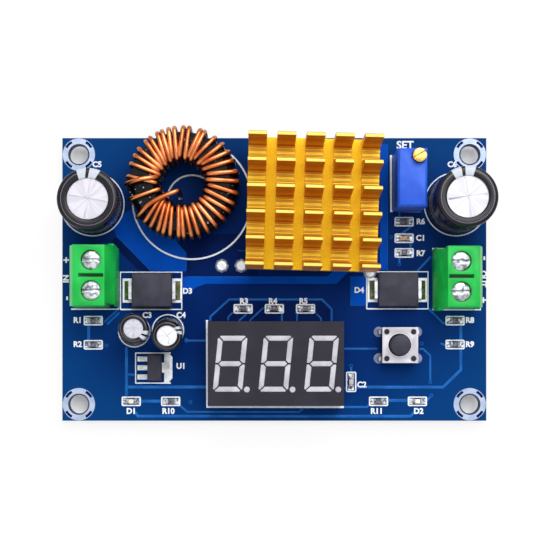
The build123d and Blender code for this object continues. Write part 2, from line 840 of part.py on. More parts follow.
# Button legs, bent down from the base
leg_outside = (button_leg_span_x + button_leg_thickness) / 2
button_leg = bent_strip(
    [
        (leg_outside, -board_thickness - lead_below),
        (leg_outside, button_leg_height),
        (button_size / 2, button_leg_height),
    ],
    button_leg_thickness,
)
leg_planes = [
    front(shifted(place(*button_spot, turn), y=offset))
    for turn in (0, 180)
    for offset in row(2, button_leg_span_y)
]
with BuildPart() as button_legs:
    with BuildSketch(*leg_planes):
        add(button_leg)
    extrude(amount=button_leg_width / 2, both=True)
save(button_legs, "button_legs")


def quarter_segments():
    """The upper left bar and the top and middle bars of an upright digit."""
    a, b, t, g = digit_half_width, digit_half_height, segment_width, segment_gap
    c = digit_corner
    far, near = (c + g) / 2, (c - g) / 2
    top = [(c - a, b), (a - c, b), (a - far, b - near), (a - t - g, b - t), (t + g - a, b - t)]
    top.append((far - a, b - near))
    left = [(-a, b - c), (near - a, b - far), (t - a, b - t - g), (t - a, t / 2 + g), (t / 2 - a, g), (-a, g)]
    tip = t / 2 + g - a
    middle = [(tip, 0), (tip + t / 2, t / 2), (-tip - t / 2, t / 2)]
    middle += [(-tip, 0), (-tip - t / 2, -t / 2), (tip + t / 2, -t / 2)]
    return top, left, middle


def digit_segments():
    top, left, middle = quarter_segments()
    bars = [top, middle, [(x, -y) for x, y in top]]
    for flip_x in (-1, 1):
        for flip_y in (-1, 1):
            bars.append([(flip_x * x, flip_y * y) for x, y in left])
    slant = tan(radians(digit_slant))
    return [[(x + slant * y, y) for x, y in bar] for bar in bars]


def face_marks():
    """The bars and points of every digit, drawn in the sketch that is returned."""
    with BuildSketch(mode=Mode.PRIVATE) as marks:
        for shift in row(digit_count, digit_pitch):
            for bar in digit_segments():
                Polygon(*[(x + shift, y) for x, y in bar])
            with Locations((shift + point_offset[0], point_offset[1])):
                RegularPolygon(point_radius, point_sides)
    return marks.sketch_local


# Display housing: a shell open below, with a window for every bar and point
display_base = place(*display_spot)
display_bore = (display_length - 2 * display_wall, display_width - 2 * display_wall)
display_ceiling = display_height - display_face
marks = face_marks()
with BuildPart() as display_housing:
    with BuildSketch(display_base):
        Rectangle(display_length, display_width)
    extrude(amount=display_height)
    with BuildSketch(display_base):
        Rectangle(*display_bore)
    extrude(amount=display_ceiling, mode=Mode.SUBTRACT)
    with BuildSketch(shifted(display_base, z=display_ceiling)):
        add(marks)
        offset(amount=display_gap, kind=Kind.INTERSECTION)
    extrude(amount=display_face, mode=Mode.SUBTRACT)
save(display_housing, "display_housing")

# Resin cast into the housing, which shows through the windows as the bars
with BuildPart() as display_segments:
    with BuildSketch(display_base):
        Rectangle(display_bore[0] - 2 * display_gap, display_bore[1] - 2 * display_gap)
    extrude(amount=display_ceiling - display_gap)
    with BuildSketch(shifted(display_base, z=display_ceiling - display_gap)):
        add(marks)
    extrude(amount=display_face + display_gap - segment_recess)
save(display_segments, "display_segments")

with BuildPart() as display_pins:
    with BuildSketch(shifted(display_base, z=-board_thickness - lead_below)):
        with Locations(*display_pin_spots()):
            Rectangle(display_pin_size, display_pin_size)
    extrude(amount=board_thickness + lead_below)
save(display_pins, "display_pins")

# Small regulator
small_base = place(*small_regulator_spot, height=pad_thickness)
small_length, small_width, small_height = small_regulator_size
with BuildPart() as small_regulator_case:
    with BuildSketch(small_base):
        Rectangle(small_length, small_width)
    extrude(amount=small_height, taper=regulator_taper)
save(small_regulator_case, "small_regulator_case")

with BuildPart() as small_regulator_leads:
    with BuildSketch(small_base):
        with Locations((-(small_length + small_regulator_lead[0]) / 2, 0)):
            with GridLocations(1, small_regulator_pitch, 1, 3):
                Rectangle(*small_regulator_lead[:2])
        with Locations(((small_length + small_regulator_tab[0]) / 2, 0)):
            Rectangle(*small_regulator_tab[:2])
    extrude(amount=small_regulator_lead[2])
save(small_regulator_leads, "small_regulator_leads")

# Chips: bodies between their tinned ends
chip_core = chip_length - 2 * chip_end
chip_plane = Plane.XY.offset(board_thickness + pad_thickness)
with BuildPart() as chip_resistors:
    with BuildSketch(chip_plane):
        with Locations(*resistor_spots):
            Rectangle(chip_core, chip_width)
    extrude(amount=chip_height)
save(chip_resistors, "chip_resistors")

with BuildPart() as chip_capacitors:
    with BuildSketch(chip_plane):
        for x, y, turn in chip_capacitor_spots:
            with Locations(Location((x, y), turn)):
                Rectangle(chip_core, chip_width)
    extrude(amount=chip_height)
save(chip_capacitors, "chip_capacitors")

with BuildPart() as indicator_lamps:
    with BuildSketch(chip_plane):
        with Locations(*lamp_spots):
            Rectangle(chip_core, chip_width)
    extrude(amount=chip_height, taper=regulator_taper)
save(indicator_lamps, "indicator_lamps")

all_chips = [(x, y, 0) for x, y in resistor_spots + lamp_spots] + chip_capacitor_spots
with BuildPart() as chip_ends:
    with BuildSketch(chip_plane):
        for x, y, turn in all_chips:
            with Locations(Location((x, y), turn)):
                with GridLocations(chip_length - chip_end, 1, 2, 1):
                    Rectangle(chip_end, chip_width + 2 * chip_end_skin)
    extrude(amount=chip_height + chip_end_skin)
save(chip_ends, "chip_ends")

# Display driver under the board, between the rows of display pins
driver_length, driver_width, driver_height = driver_size
driver_base = Plane((*driver_spot, 0), x_dir=(1, 0, 0), z_dir=(0, 0, -1))
driver_back = Plane((*driver_spot, 0), x_dir=(-1, 0, 0), z_dir=(0, 0, -1))
with BuildPart() as driver_case:
    with BuildSketch(shifted(driver_base, z=pad_thickness)):
        Rectangle(driver_length, driver_width)
    extrude(amount=driver_height)
save(driver_case, "driver_case")

driver_lead_end = driver_width / 2 + driver_lead_reach
driver_knee = driver_width / 2 + driver_lead_reach / 3
driver_lead = bent_strip(
    [
        (driver_lead_end, driver_lead_thickness),
        (driver_knee + driver_lead_thickness, driver_lead_thickness),
        (driver_knee, driver_height / 2 + pad_thickness),
        (driver_width / 2, driver_height / 2 + pad_thickness),
    ],
    driver_lead_thickness,
)
driver_planes = [
    side(shifted(base, x))
    for base in (driver_base, driver_back)
    for x in row(driver_lead_count, driver_lead_pitch)
]
with BuildPart() as driver_leads:
    with BuildSketch(*driver_planes):
        add(driver_lead)
    extrude(amount=driver_lead_width / 2, both=True)
save(driver_leads, "driver_leads")
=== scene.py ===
import json
from math import cos, radians, sin, tau

import bpy
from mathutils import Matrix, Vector

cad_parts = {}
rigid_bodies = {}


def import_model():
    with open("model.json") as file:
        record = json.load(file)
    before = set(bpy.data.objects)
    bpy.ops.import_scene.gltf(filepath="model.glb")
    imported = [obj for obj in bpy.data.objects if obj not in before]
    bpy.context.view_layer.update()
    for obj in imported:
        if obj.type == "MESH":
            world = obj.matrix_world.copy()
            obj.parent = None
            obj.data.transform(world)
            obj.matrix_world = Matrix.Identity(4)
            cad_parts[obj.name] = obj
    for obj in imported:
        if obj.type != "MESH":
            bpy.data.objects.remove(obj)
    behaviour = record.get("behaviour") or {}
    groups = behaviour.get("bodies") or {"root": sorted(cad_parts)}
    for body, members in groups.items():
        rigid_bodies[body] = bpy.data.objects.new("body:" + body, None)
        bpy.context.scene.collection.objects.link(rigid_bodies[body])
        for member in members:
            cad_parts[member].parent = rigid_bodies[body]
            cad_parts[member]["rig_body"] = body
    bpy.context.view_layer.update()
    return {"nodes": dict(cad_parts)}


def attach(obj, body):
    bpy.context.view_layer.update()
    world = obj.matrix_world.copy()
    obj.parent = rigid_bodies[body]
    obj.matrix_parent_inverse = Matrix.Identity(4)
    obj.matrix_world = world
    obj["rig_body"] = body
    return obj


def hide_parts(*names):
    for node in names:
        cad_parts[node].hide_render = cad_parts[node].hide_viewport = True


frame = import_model()
cadNodes = frame["nodes"]
mm = 0.001
boardTop = 1.6  # mm, as every length below until it is built
board = {"half": (36.0, 24.0), "hole": (33.2, 21.2)}
buttonCentre = (20.98, -11.16)
weldGap = 0.000001  # metres
seedSize = 0.0002  # metres, of the plane that a path starts from
clamps = [(side, number) for side in ("input", "output") for number in (1, 2)]

print("frame loaded")


# working helpers

def clearSelection():
    if bpy.context.object and bpy.context.object.mode != "OBJECT":
        bpy.ops.object.mode_set(mode="OBJECT")
    bpy.ops.object.select_all(action="DESELECT")


def workOn(piece):
    clearSelection()
    piece.select_set(True)
    bpy.context.view_layer.objects.active = piece


def editAll():
    bpy.ops.object.mode_set(mode="EDIT")
    bpy.ops.mesh.select_all(action="SELECT")


def endEdit():
    bpy.ops.object.mode_set(mode="OBJECT")


def converted(kind):
    bpy.ops.object.convert(target=kind)
    return bpy.context.object


def settle(piece):
    workOn(piece)
    bpy.ops.object.transform_apply(location=True, rotation=True, scale=True)


def applyModifier(piece, kind, **settings):
    workOn(piece)
    modifier = piece.modifiers.new(kind.lower(), kind)
    for key, value in settings.items():
        setattr(modifier, key, value)
    bpy.ops.object.modifier_apply(modifier=modifier.name)


def softEdges(piece, width, segments=2, limit=30, clamp=False):
    applyModifier(piece, "BEVEL", width=width * mm, segments=segments, limit_method="ANGLE",
                  angle_limit=radians(limit), use_clamp_overlap=clamp)


def smoothBy(piece, angle=35):
    workOn(piece)
    bpy.ops.object.shade_smooth_by_angle(angle=radians(angle))


def weldAll():
    editAll()
    bpy.ops.mesh.remove_doubles(threshold=weldGap)
    bpy.ops.mesh.select_all(action="SELECT")


def outward(piece):
    workOn(piece)
    editAll()
    bpy.ops.mesh.remove_doubles(threshold=weldGap)
    bpy.ops.mesh.normals_make_consistent(inside=False)
    endEdit()


def dress(piece, material, body="module", replaced=()):
    piece.data.materials.clear()
    piece.data.materials.append(material)
    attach(piece, body)
    if replaced:
        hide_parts(*replaced)
    return piece


def softCopy(node, name, width, material, segments=2, limit=30, smooth=35, clamp=True):
    # the node's own shape, merged and with its edges eased
    source = cadNodes[node]
    piece = bpy.data.objects.new(name, source.data.copy())
    bpy.context.scene.collection.objects.link(piece)
    workOn(piece)
    editAll()
    bpy.ops.mesh.remove_doubles(threshold=2 * weldGap)
    bpy.ops.mesh.dissolve_limited(angle_limit=radians(1))
    endEdit()
    if width:
        softEdges(piece, width, segments, limit, clamp)
    smoothBy(piece, smooth)
    return dress(piece, material, source["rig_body"], [node])


def drawPaths(name, paths):
    # paths of points in mm, drawn one vertex after another
    clearSelection()
    bpy.ops.mesh.primitive_plane_add(size=seedSize, location=(0, 0, 0))
    piece = bpy.context.object
    piece.name = name
    bpy.ops.object.mode_set(mode="EDIT")
    for number, path in enumerate(paths):
        spots = [Vector(point) * mm for point in path]
        if number:
            bpy.ops.mesh.primitive_plane_add(size=seedSize, location=(0, 0, 0))
        bpy.ops.mesh.merge(type="CENTER")
        bpy.ops.transform.translate(value=spots[0])
        for here, there in zip(spots, spots[1:]):
            bpy.ops.mesh.extrude_vertices_move(TRANSFORM_OT_translate={"value": there - here})
        bpy.ops.mesh.select_all(action="DESELECT")
    endEdit()
    return piece


def drawLines(name, paths, width, thick, material, rounds=0):
    # flat lines that lie on the board or on what it carries
    drawPaths(name, paths)
    base = paths[0][0][2]
    piece = converted("CURVE")
    piece.data.dimensions = "3D"
    piece.data.bevel_depth = width / 2 * mm
    piece.data.bevel_resolution = rounds
    piece.data.use_fill_caps = True
    piece = converted("MESH")
    editAll()
    bpy.ops.transform.resize(value=(1, 1, 2 * thick / width), center_override=(0, 0, base * mm))
    bpy.ops.mesh.normals_make_consistent(inside=False)
    endEdit()
    return dress(piece, material)


def pushed(name, outlines, travel):
    # closed outlines of points in mm, filled and pushed along travel
    piece = drawPaths(name, [outline + outline[:1] for outline in outlines])
    weldAll()
    bpy.ops.mesh.edge_face_add()
    bpy.ops.mesh.select_all(action="SELECT")
    bpy.ops.mesh.extrude_region_move(TRANSFORM_OT_translate={"value": [length * mm for length in travel]})
    endEdit()
    outward(piece)
    return piece


def plate(name, outlines, low, high, material, edge=0):
    # flat outlines of X and Y in mm, made a plate from low to high
    piece = pushed(name, [[(x, y, low) for x, y in outline] for outline in outlines], (0, 0, high - low))
    if edge:
        softEdges(piece, edge, 2)
    smoothBy(piece, 30)
    return dress(piece, material)


def leaned(piece, facts):
    # the foot stays, the top goes over a little, as soldered by hand
    for vertex in piece.data.vertices:
        share = (vertex.co.z / mm - boardTop) / facts["height"]
        vertex.co.x += facts["lean"][0] * share * mm
        vertex.co.y += facts["lean"][1] * share * mm
    return piece


def arc(x, y, radius, start, end, height, steps=12):
    turns = [radians(start + (end - start) * index / steps) for index in range(steps + 1)]
    return [(x + radius * cos(turn), y + radius * sin(turn), height) for turn in turns]


def lathe(name, profile, x, y, steps=64):
    # a closed section of radius and height, spun round the upright axis at x, y
    loop = [(x + radius, y, height) for radius, height in profile + profile[:1]]
    piece = drawPaths(name, [loop])
    weldAll()
    bpy.ops.mesh.spin(steps=steps, angle=tau, center=(x * mm, y * mm, 0), axis=(0, 0, 1))
    endEdit()
    outward(piece)
    smoothBy(piece, 40)
    return piece


def joined(name, parts):
    clearSelection()
    for part in parts:
        part.select_set(True)
    bpy.context.view_layer.objects.active = parts[0]
    bpy.ops.object.join()
    piece = bpy.context.object
    piece.name = name
    return piece


# camera, floor and light

cameraSetup = {"place": (-0.00278, -0.01373, 0.2616), "lens": 100.2, "shift": (0.031, 0.155)}
clearSelection()
bpy.ops.object.camera_add(location=cameraSetup["place"], rotation=(0, 0, 0))
camera = bpy.context.object
camera.data.lens = cameraSetup["lens"]
camera.data.sensor_width = 36
camera.data.shift_x, camera.data.shift_y = cameraSetup["shift"]
camera.data.clip_start = 0.01
bpy.context.scene.camera = camera
bpy.context.scene.view_settings.view_transform = "Standard"

studio = {
    "floor": -1.8, "zenith": 0.74, "horizon": 0.45,
    "keyPlace": (0.1, 0.27, 0.52), "keySize": 0.42, "keyPower": 2.4,
    "fillPlace": (-0.2, -0.32, 0.4), "fillSize": 0.5, "fillPower": 0.3,
    # metres; the paper glows less under the board than beside it, so the shadow stays
    "dimHalf": (0.034, 0.022), "dimEdge": 0.003, "glowUnder": 0.18, "glowBeside": 0.85,
}


def aimedLight(name, place, size, power):
    clearSelection()
    aim = (Vector((0, 0, 0)) - Vector(place)).to_track_quat("-Z", "Y").to_euler()
    bpy.ops.object.light_add(type="AREA", location=place, rotation=aim)
    lamp = bpy.context.object
    lamp.name = name
    lamp.data.size = size
    lamp.data.energy = power


for light in ("key", "fill"):
    aimedLight(light + "Light", studio[light + "Place"], studio[light + "Size"], studio[light + "Power"])


def calc(tree, operation, *values):
    node = tree.nodes.new("ShaderNodeMath")
    node.operation = operation
    for index, value in enumerate(values):
        if isinstance(value, (int, float)):
            node.inputs[index].default_value = value
        else:
            tree.links.new(value, node.inputs[index])
    return node.outputs[0]


def blendColors(tree, factor, first, second):
    node = tree.nodes.new("ShaderNodeMix")
    node.data_type = "RGBA"
    for index, value in ((0, factor), (6, first), (7, second)):
        if isinstance(value, (int, float, tuple)):
            node.inputs[index].default_value = value
        else:
            tree.links.new(value, node.inputs[index])
    return node.outputs[2]


def ramp(tree, value, low, high, start=0.0, end=1.0):
    node = tree.nodes.new("ShaderNodeMapRange")
    node.interpolation_type = "SMOOTHSTEP"
    tree.links.new(value, node.inputs["Value"])
    for key, number in (("From Min", low), ("From Max", high), ("To Min", start), ("To Max", end)):
        node.inputs[key].default_value = number
    return node.outputs["Result"]


def rgb(red, green, blue):
    def linear(value):
        value /= 255
        return value / 12.92 if value <= 0.04045 else ((value + 0.055) / 1.055) ** 2.4
    return linear(red), linear(green), linear(blue), 1.0


world = bpy.context.scene.world or bpy.data.worlds.new("studioWorld")
bpy.context.scene.world = world
world.use_nodes = True
sky = world.node_tree
backdrop = sky.nodes["Background"]
skyWay = sky.nodes.new("ShaderNodeTexCoord")
skyParts = sky.nodes.new("ShaderNodeSeparateXYZ")
sky.links.new(skyWay.outputs["Generated"], skyParts.inputs["Vector"])
skyHeight = ramp(sky, skyParts.outputs["Z"], -0.1, 1.0, studio["horizon"], studio["zenith"])
skyRays = sky.nodes.new("ShaderNodeLightPath")
skyLevel = calc(sky, "MAXIMUM", skyHeight, skyRays.outputs["Is Camera Ray"])
sky.links.new(skyLevel, backdrop.inputs["Strength"])
backdrop.inputs["Color"].default_value = (1, 1, 1, 1)

clearSelection()
bpy.ops.mesh.primitive_plane_add(size=3, location=(0, 0, studio["floor"] * mm))
floor = bpy.context.object
floor.name = "studioFloor"
paper = bpy.data.materials.new("whitePaper")
paper.use_nodes = True
paperTree = paper.node_tree
paperShader = paperTree.nodes["Principled BSDF"]
paperShader.inputs["Base Color"].default_value = (0.97, 0.97, 0.97, 1)
paperShader.inputs["Roughness"].default_value = 0.9
paperGlow = paperTree.nodes.new("ShaderNodeEmission")
paperRays = paperTree.nodes.new("ShaderNodeLightPath").outputs
paperSeen = calc(paperTree, "MAXIMUM", paperRays["Is Camera Ray"], paperRays["Is Glossy Ray"])
paperWhere = paperTree.nodes.new("ShaderNodeTexCoord")
paperParts = paperTree.nodes.new("ShaderNodeSeparateXYZ")
paperTree.links.new(paperWhere.outputs["Object"], paperParts.inputs["Vector"])
past = [calc(paperTree, "SUBTRACT", calc(paperTree, "ABSOLUTE", paperParts.outputs[axis]), half)
        for axis, half in zip("XY", studio["dimHalf"])]
beside = calc(paperTree, "MAXIMUM", *past)
glow = ramp(paperTree, beside, 0.0, studio["dimEdge"], studio["glowUnder"], studio["glowBeside"])
paperShare = calc(paperTree, "MULTIPLY", paperSeen, glow)
paperMix = paperTree.nodes.new("ShaderNodeMixShader")
paperTree.links.new(paperShare, paperMix.inputs[0])
paperTree.links.new(paperShader.outputs[0], paperMix.inputs[1])
paperTree.links.new(paperGlow.outputs[0], paperMix.inputs[2])
paperTree.links.new(paperMix.outputs[0], paperTree.nodes["Material Output"].inputs["Surface"])
floor.data.materials.append(paper)

print("camera, floor and lights set")


# materials

def makeMottle():
    # uneven colour, gloss and surface that every finish starts from
    group = bpy.data.node_groups.new("mottle", "ShaderNodeTree")
    for name, kind in (("Light", "Color"), ("Dark", "Color"), ("Broad", "Float"), ("Fine", "Float"),
                       ("Low", "Float"), ("High", "Float")):
        group.interface.new_socket(name, in_out="INPUT", socket_type="NodeSocket" + kind)
    for name, kind in (("Color", "Color"), ("Roughness", "Float"), ("Height", "Float")):
        group.interface.new_socket(name, in_out="OUTPUT", socket_type="NodeSocket" + kind)
    given = group.nodes.new("NodeGroupInput")
    made = group.nodes.new("NodeGroupOutput")
    where = group.nodes.new("ShaderNodeTexCoord")
    noises = {}
    for scale, detail in (("Broad", 2.0), ("Fine", 3.0)):
        noise = group.nodes.new("ShaderNodeTexNoise")
        noise.inputs["Detail"].default_value = detail
        group.links.new(where.outputs["Object"], noise.inputs["Vector"])
        group.links.new(given.outputs[scale], noise.inputs["Scale"])
        noises[scale] = noise.outputs["Fac"]
    share = ramp(group, noises["Broad"], 0.3, 0.7)
    color = blendColors(group, share, given.outputs["Dark"], given.outputs["Light"])
    span = calc(group, "SUBTRACT", given.outputs["High"], given.outputs["Low"])
    mixed = calc(group, "ADD", calc(group, "MULTIPLY", noises["Broad"], 0.6),
                 calc(group, "MULTIPLY", noises["Fine"], 0.4))
    rough = calc(group, "MULTIPLY_ADD", mixed, span, given.outputs["Low"])
    group.links.new(color, made.inputs["Color"])
    group.links.new(rough, made.inputs["Roughness"])
    group.links.new(noises["Fine"], made.inputs["Height"])
    return group


mottle = makeMottle()


def finish(name, light, dark, broad=300, fine=3000, gloss=(0.3, 0.45), bump=0.15, depth=0.02, **fixed):
    material = bpy.data.materials.new(name)
    material.use_nodes = True
    tree = material.node_tree
    shader = tree.nodes["Principled BSDF"]
    marks = tree.nodes.new("ShaderNodeGroup")
    marks.node_tree = mottle
    marks.name = "marks"
    for key, value in (("Light", light), ("Dark", dark), ("Broad", broad), ("Fine", fine),
                       ("Low", gloss[0]), ("High", gloss[1])):
        marks.inputs[key].default_value = value
    relief = tree.nodes.new("ShaderNodeBump")
    relief.inputs["Strength"].default_value = bump
    relief.inputs["Distance"].default_value = depth * mm
    relief.name = "relief"
    tree.links.new(marks.outputs["Color"], shader.inputs["Base Color"])
    tree.links.new(marks.outputs["Roughness"], shader.inputs["Roughness"])
    tree.links.new(marks.outputs["Height"], relief.inputs["Height"])
    tree.links.new(relief.outputs["Normal"], shader.inputs["Normal"])
    for key, value in fixed.items():
        shader.inputs[key.replace("_", " ")].default_value = value
    return material


def shaderOf(material):
    return material.node_tree.nodes["Principled BSDF"]


def paintOver(material, mask, color):
    # a colour over the finish wherever the mask is 1
    tree = material.node_tree
    shader = shaderOf(material)
    under = shader.inputs["Base Color"].links[0].from_socket
    tree.links.new(blendColors(tree, mask, under, color), shader.inputs["Base Color"])


def glossOver(material, mask, value):
    # a roughness over the finish wherever the mask is 1
    tree = material.node_tree
    shader = shaderOf(material)
    under = shader.inputs["Roughness"].links[0].from_socket
    drop = calc(tree, "MULTIPLY", calc(tree, "SUBTRACT", value, under), mask)
    tree.links.new(calc(tree, "ADD", under, drop), shader.inputs["Roughness"])


def spot(tree, x=0, y=0, z=0, turn=0):
    # the surface's own X, Y and Z in mm, from a centre and turned
    where = tree.nodes.new("ShaderNodeTexCoord")
    shift = tree.nodes.new("ShaderNodeMapping")
    shift.vector_type = "TEXTURE"
    shift.inputs["Location"].default_value = (x * mm, y * mm, z * mm)
    shift.inputs["Rotation"].default_value = (0, 0, radians(turn))
    shift.inputs["Scale"].default_value = (mm, mm, mm)
    tree.links.new(where.outputs["Object"], shift.inputs["Vector"])
    parts = tree.nodes.new("ShaderNodeSeparateXYZ")
    tree.links.new(shift.outputs["Vector"], parts.inputs["Vector"])
    return parts.outputs["X"], parts.outputs["Y"], parts.outputs["Z"]


def facing(tree):
    # the surface's own direction
    where = tree.nodes.new("ShaderNodeTexCoord")
    parts = tree.nodes.new("ShaderNodeSeparateXYZ")
    tree.links.new(where.outputs["Normal"], parts.inputs["Vector"])
    return parts.outputs["X"], parts.outputs["Y"], parts.outputs["Z"]


def under(tree, value, limit, edge=0.03):
    # 1 below the limit and 0 above it
    return ramp(tree, value, limit - edge, limit + edge, 1.0, 0.0)


def both(tree, *masks):
    result = masks[0]
    for mask in masks[1:]:
        result = calc(tree, "MULTIPLY", result, mask)
    return result


def streaks(tree, x, y, z, scale, detail=2.0):
    # noise that is drawn out along the axis whose numbers are small
    gathered = tree.nodes.new("ShaderNodeCombineXYZ")
    for key, value in zip("XYZ", (x, y, z)):
        tree.links.new(value, gathered.inputs[key])
    noise = tree.nodes.new("ShaderNodeTexNoise")
    noise.inputs["Scale"].default_value = scale
    noise.inputs["Detail"].default_value = detail
    tree.links.new(gathered.outputs["Vector"], noise.inputs["Vector"])
    return noise.outputs["Fac"]


def reach(tree, x, y):
    # the distance from the origin of x and y
    return calc(tree, "SQRT", calc(tree, "ADD", calc(tree, "MULTIPLY", x, x), calc(tree, "MULTIPLY", y, y)))


def absolute(tree, value):
    return calc(tree, "ABSOLUTE", value)


def off(tree, value, centre):
    # how far the value is from the centre
    return absolute(tree, calc(tree, "SUBTRACT", value, centre))


metalBright = {"Metallic": 1.0}

solderMask = finish("solderMask", rgb(3, 43, 112), rgb(1, 34, 98), 90, 2500, (0.3, 0.42), 0.08,
                    Specular_IOR_Level=0.02)
maskTree = solderMask.node_tree
boardAxes = spot(maskTree)[:2]
rim = calc(maskTree, "ADD", *[calc(maskTree, "POWER", calc(maskTree, "DIVIDE", axis, half), 2.0)
                              for axis, half in zip(boardAxes, board["half"])])
paintOver(solderMask, ramp(maskTree, rim, 0.1, 1.7, 0.0, 0.9), rgb(7, 62, 121))
# bare laminate at the edges; painted shade down the mounting holes, in place of their metal, and in a thin
# ring round each
paintOver(solderMask, under(maskTree, absolute(maskTree, facing(maskTree)[2]), 0.5, 0.1), rgb(118, 128, 96))
holeAxes = [calc(maskTree, "SUBTRACT", absolute(maskTree, axis), place)
            for axis, place in zip(boardAxes, board["hole"])]
paintOver(solderMask, under(maskTree, reach(maskTree, *holeAxes), 1.82), rgb(58, 64, 84))

traceMask = finish("raisedTrace", rgb(30, 104, 184), rgb(16, 86, 164), 400, 3000, (0.25, 0.35), 0.05,
                   Specular_IOR_Level=0.08)
pourMask = finish("copperUnderMask", rgb(0, 80, 190), rgb(0, 70, 174), 200, 3000, (0.3, 0.4), 0.05,
                  Specular_IOR_Level=0.02)
bareMask = finish("bareUnderMask", rgb(3, 31, 90), rgb(1, 23, 74), 200, 3000, (0.3, 0.4), 0.05,
                  Specular_IOR_Level=0.02)
legMask = finish("legLands", rgb(140, 150, 186), rgb(112, 122, 164), 900, 3000, (0.3, 0.4), 0.1,
                 Specular_IOR_Level=0.2)
landTin = finish("landTin", rgb(246, 248, 252), rgb(216, 220, 228), 1300, 3600, (0.35, 0.5), 0.3,
                 Metallic=0.15)
# solder fillets, tinted olive by a painted green reflection
filletReflection = finish("solderFilletGreenReflection", rgb(150, 154, 120), rgb(92, 106, 60), 900, 3000, (0.2, 0.34), 0.3,
                Metallic=0.5)
silk = finish("silkInk", rgb(250, 252, 255), rgb(228, 236, 246), 2200, 9000, (0.5, 0.7), 0.3)
padSilver = finish("mountingTin", rgb(182, 196, 222), rgb(158, 174, 202), 500, 2600, (0.3, 0.45), 0.2,
                   Metallic=0.35)
solder = finish("solderTin", rgb(226, 229, 232), rgb(150, 155, 160), 900, 2600, (0.14, 0.3), 0.35, 0.03,
                **metalBright)
padTin = finish("padTin", rgb(238, 241, 245), rgb(205, 210, 216), 600, 2600, (0.3, 0.45), 0.25,
                Metallic=0.5)
# the small parts' pads are darker in blue-grey patches; the diodes' pads and the solder domes aren't
padTree = padTin.node_tree
padX, padY, padZ = spot(padTree)
pastDiodes = ramp(padTree, off(padTree, padY, -1.85), 2.3, 2.4)
darkPatch = ramp(padTree, streaks(padTree, padX, padY, padZ, 2.6), 0.42, 0.6)
flat = under(padTree, padZ, boardTop + 0.15, 0.02)
paintOver(padTin, both(padTree, pastDiodes, darkPatch, flat), rgb(84, 92, 116))
coreCoat = finish("coreCoating", rgb(20, 18, 23), rgb(8, 7, 10), 500, 1800, (0.2, 0.34), 0.4, 0.05,
                  Specular_IOR_Level=0.12)
# painted glints of highlight on the core's coating
coreTree = coreCoat.node_tree
glint = coreTree.nodes.new("ShaderNodeTexNoise")
glint.inputs["Scale"].default_value = 1500
glintWhere = coreTree.nodes.new("ShaderNodeTexCoord")
coreTree.links.new(glintWhere.outputs["Object"], glint.inputs["Vector"])
paintOver(coreCoat, ramp(coreTree, glint.outputs["Fac"], 0.68, 0.71), rgb(200, 202, 208))
enamel = finish("copperEnamel", rgb(242, 158, 104), rgb(204, 112, 62), 300, 2600, (0.24, 0.34), 0.12,
                **metalBright)
enamelTree = enamel.node_tree
# painted shade on the wire wherever it doesn't face up, down its sides and between the turns
paintOver(enamel, under(enamelTree, facing(enamelTree)[2], 0.4, 0.36), rgb(104, 42, 16))
rubber = finish("thermalRubber", rgb(170, 172, 176), rgb(140, 142, 148), 500, 4000, (0.7, 0.85), 0.3)
moulded = finish("mouldedCase", rgb(62, 62, 78), rgb(47, 47, 60), 350, 5200, (0.5, 0.66), 0.5,
                 Specular_IOR_Level=0.3)
tinned = finish("tinnedLead", rgb(226, 229, 232), rgb(176, 180, 184), 700, 4200, (0.2, 0.38), 0.25,
                **metalBright)
greenPlastic = finish("terminalGreen", rgb(30, 194, 80), rgb(14, 170, 62), 220, 4200, (0.3, 0.42), 0.2,
                      Specular_IOR_Level=0.25)
# the floor of the slot between the two screws, in shadow
greenTree = greenPlastic.node_tree
greenY, greenZ = spot(greenTree)[1:]
slotFloor = both(greenTree, ramp(greenTree, greenZ, 10.1, 10.2), under(greenTree, greenZ, 11.3),
                 under(greenTree, off(greenTree, greenY, 0.1), 0.5),
                 ramp(greenTree, facing(greenTree)[2], 0.96, 0.99))
paintOver(greenPlastic, slotFloor, rgb(6, 72, 22))
zinc = finish("zincPlate", rgb(222, 226, 230), rgb(104, 110, 118), 1500, 3200, (0.26, 0.5), 0.9, 0.06,
              **metalBright)
sealRubber = finish("sealRubber", rgb(30, 29, 28), rgb(18, 17, 17), 500, 4200, (0.6, 0.8), 0.35)
bluePlastic = finish("trimmerBlue", rgb(42, 102, 230), rgb(28, 82, 208), 260, 4200, (0.34, 0.46), 0.25,
                     Specular_IOR_Level=0.3)
brass = finish("brassScrew", rgb(250, 214, 126), rgb(206, 156, 70), 900, 5200, (0.24, 0.42), 0.4,
               **metalBright)
blackPlastic = finish("buttonPlastic", rgb(34, 34, 40), rgb(18, 18, 22), 420, 4800, (0.35, 0.5), 0.35,
                      Specular_IOR_Level=0.25)
greyPlunger = finish("plungerPlastic", rgb(56, 56, 73), rgb(44, 44, 58), 420, 4800, (0.4, 0.55), 0.35,
                     Specular_IOR_Level=0.3)
satinSteel = finish("satinSteel", rgb(220, 217, 225), rgb(200, 197, 206), 260, 6200, (0.45, 0.6), 0.35,
                    Metallic=0.3, Specular_IOR_Level=0.3)
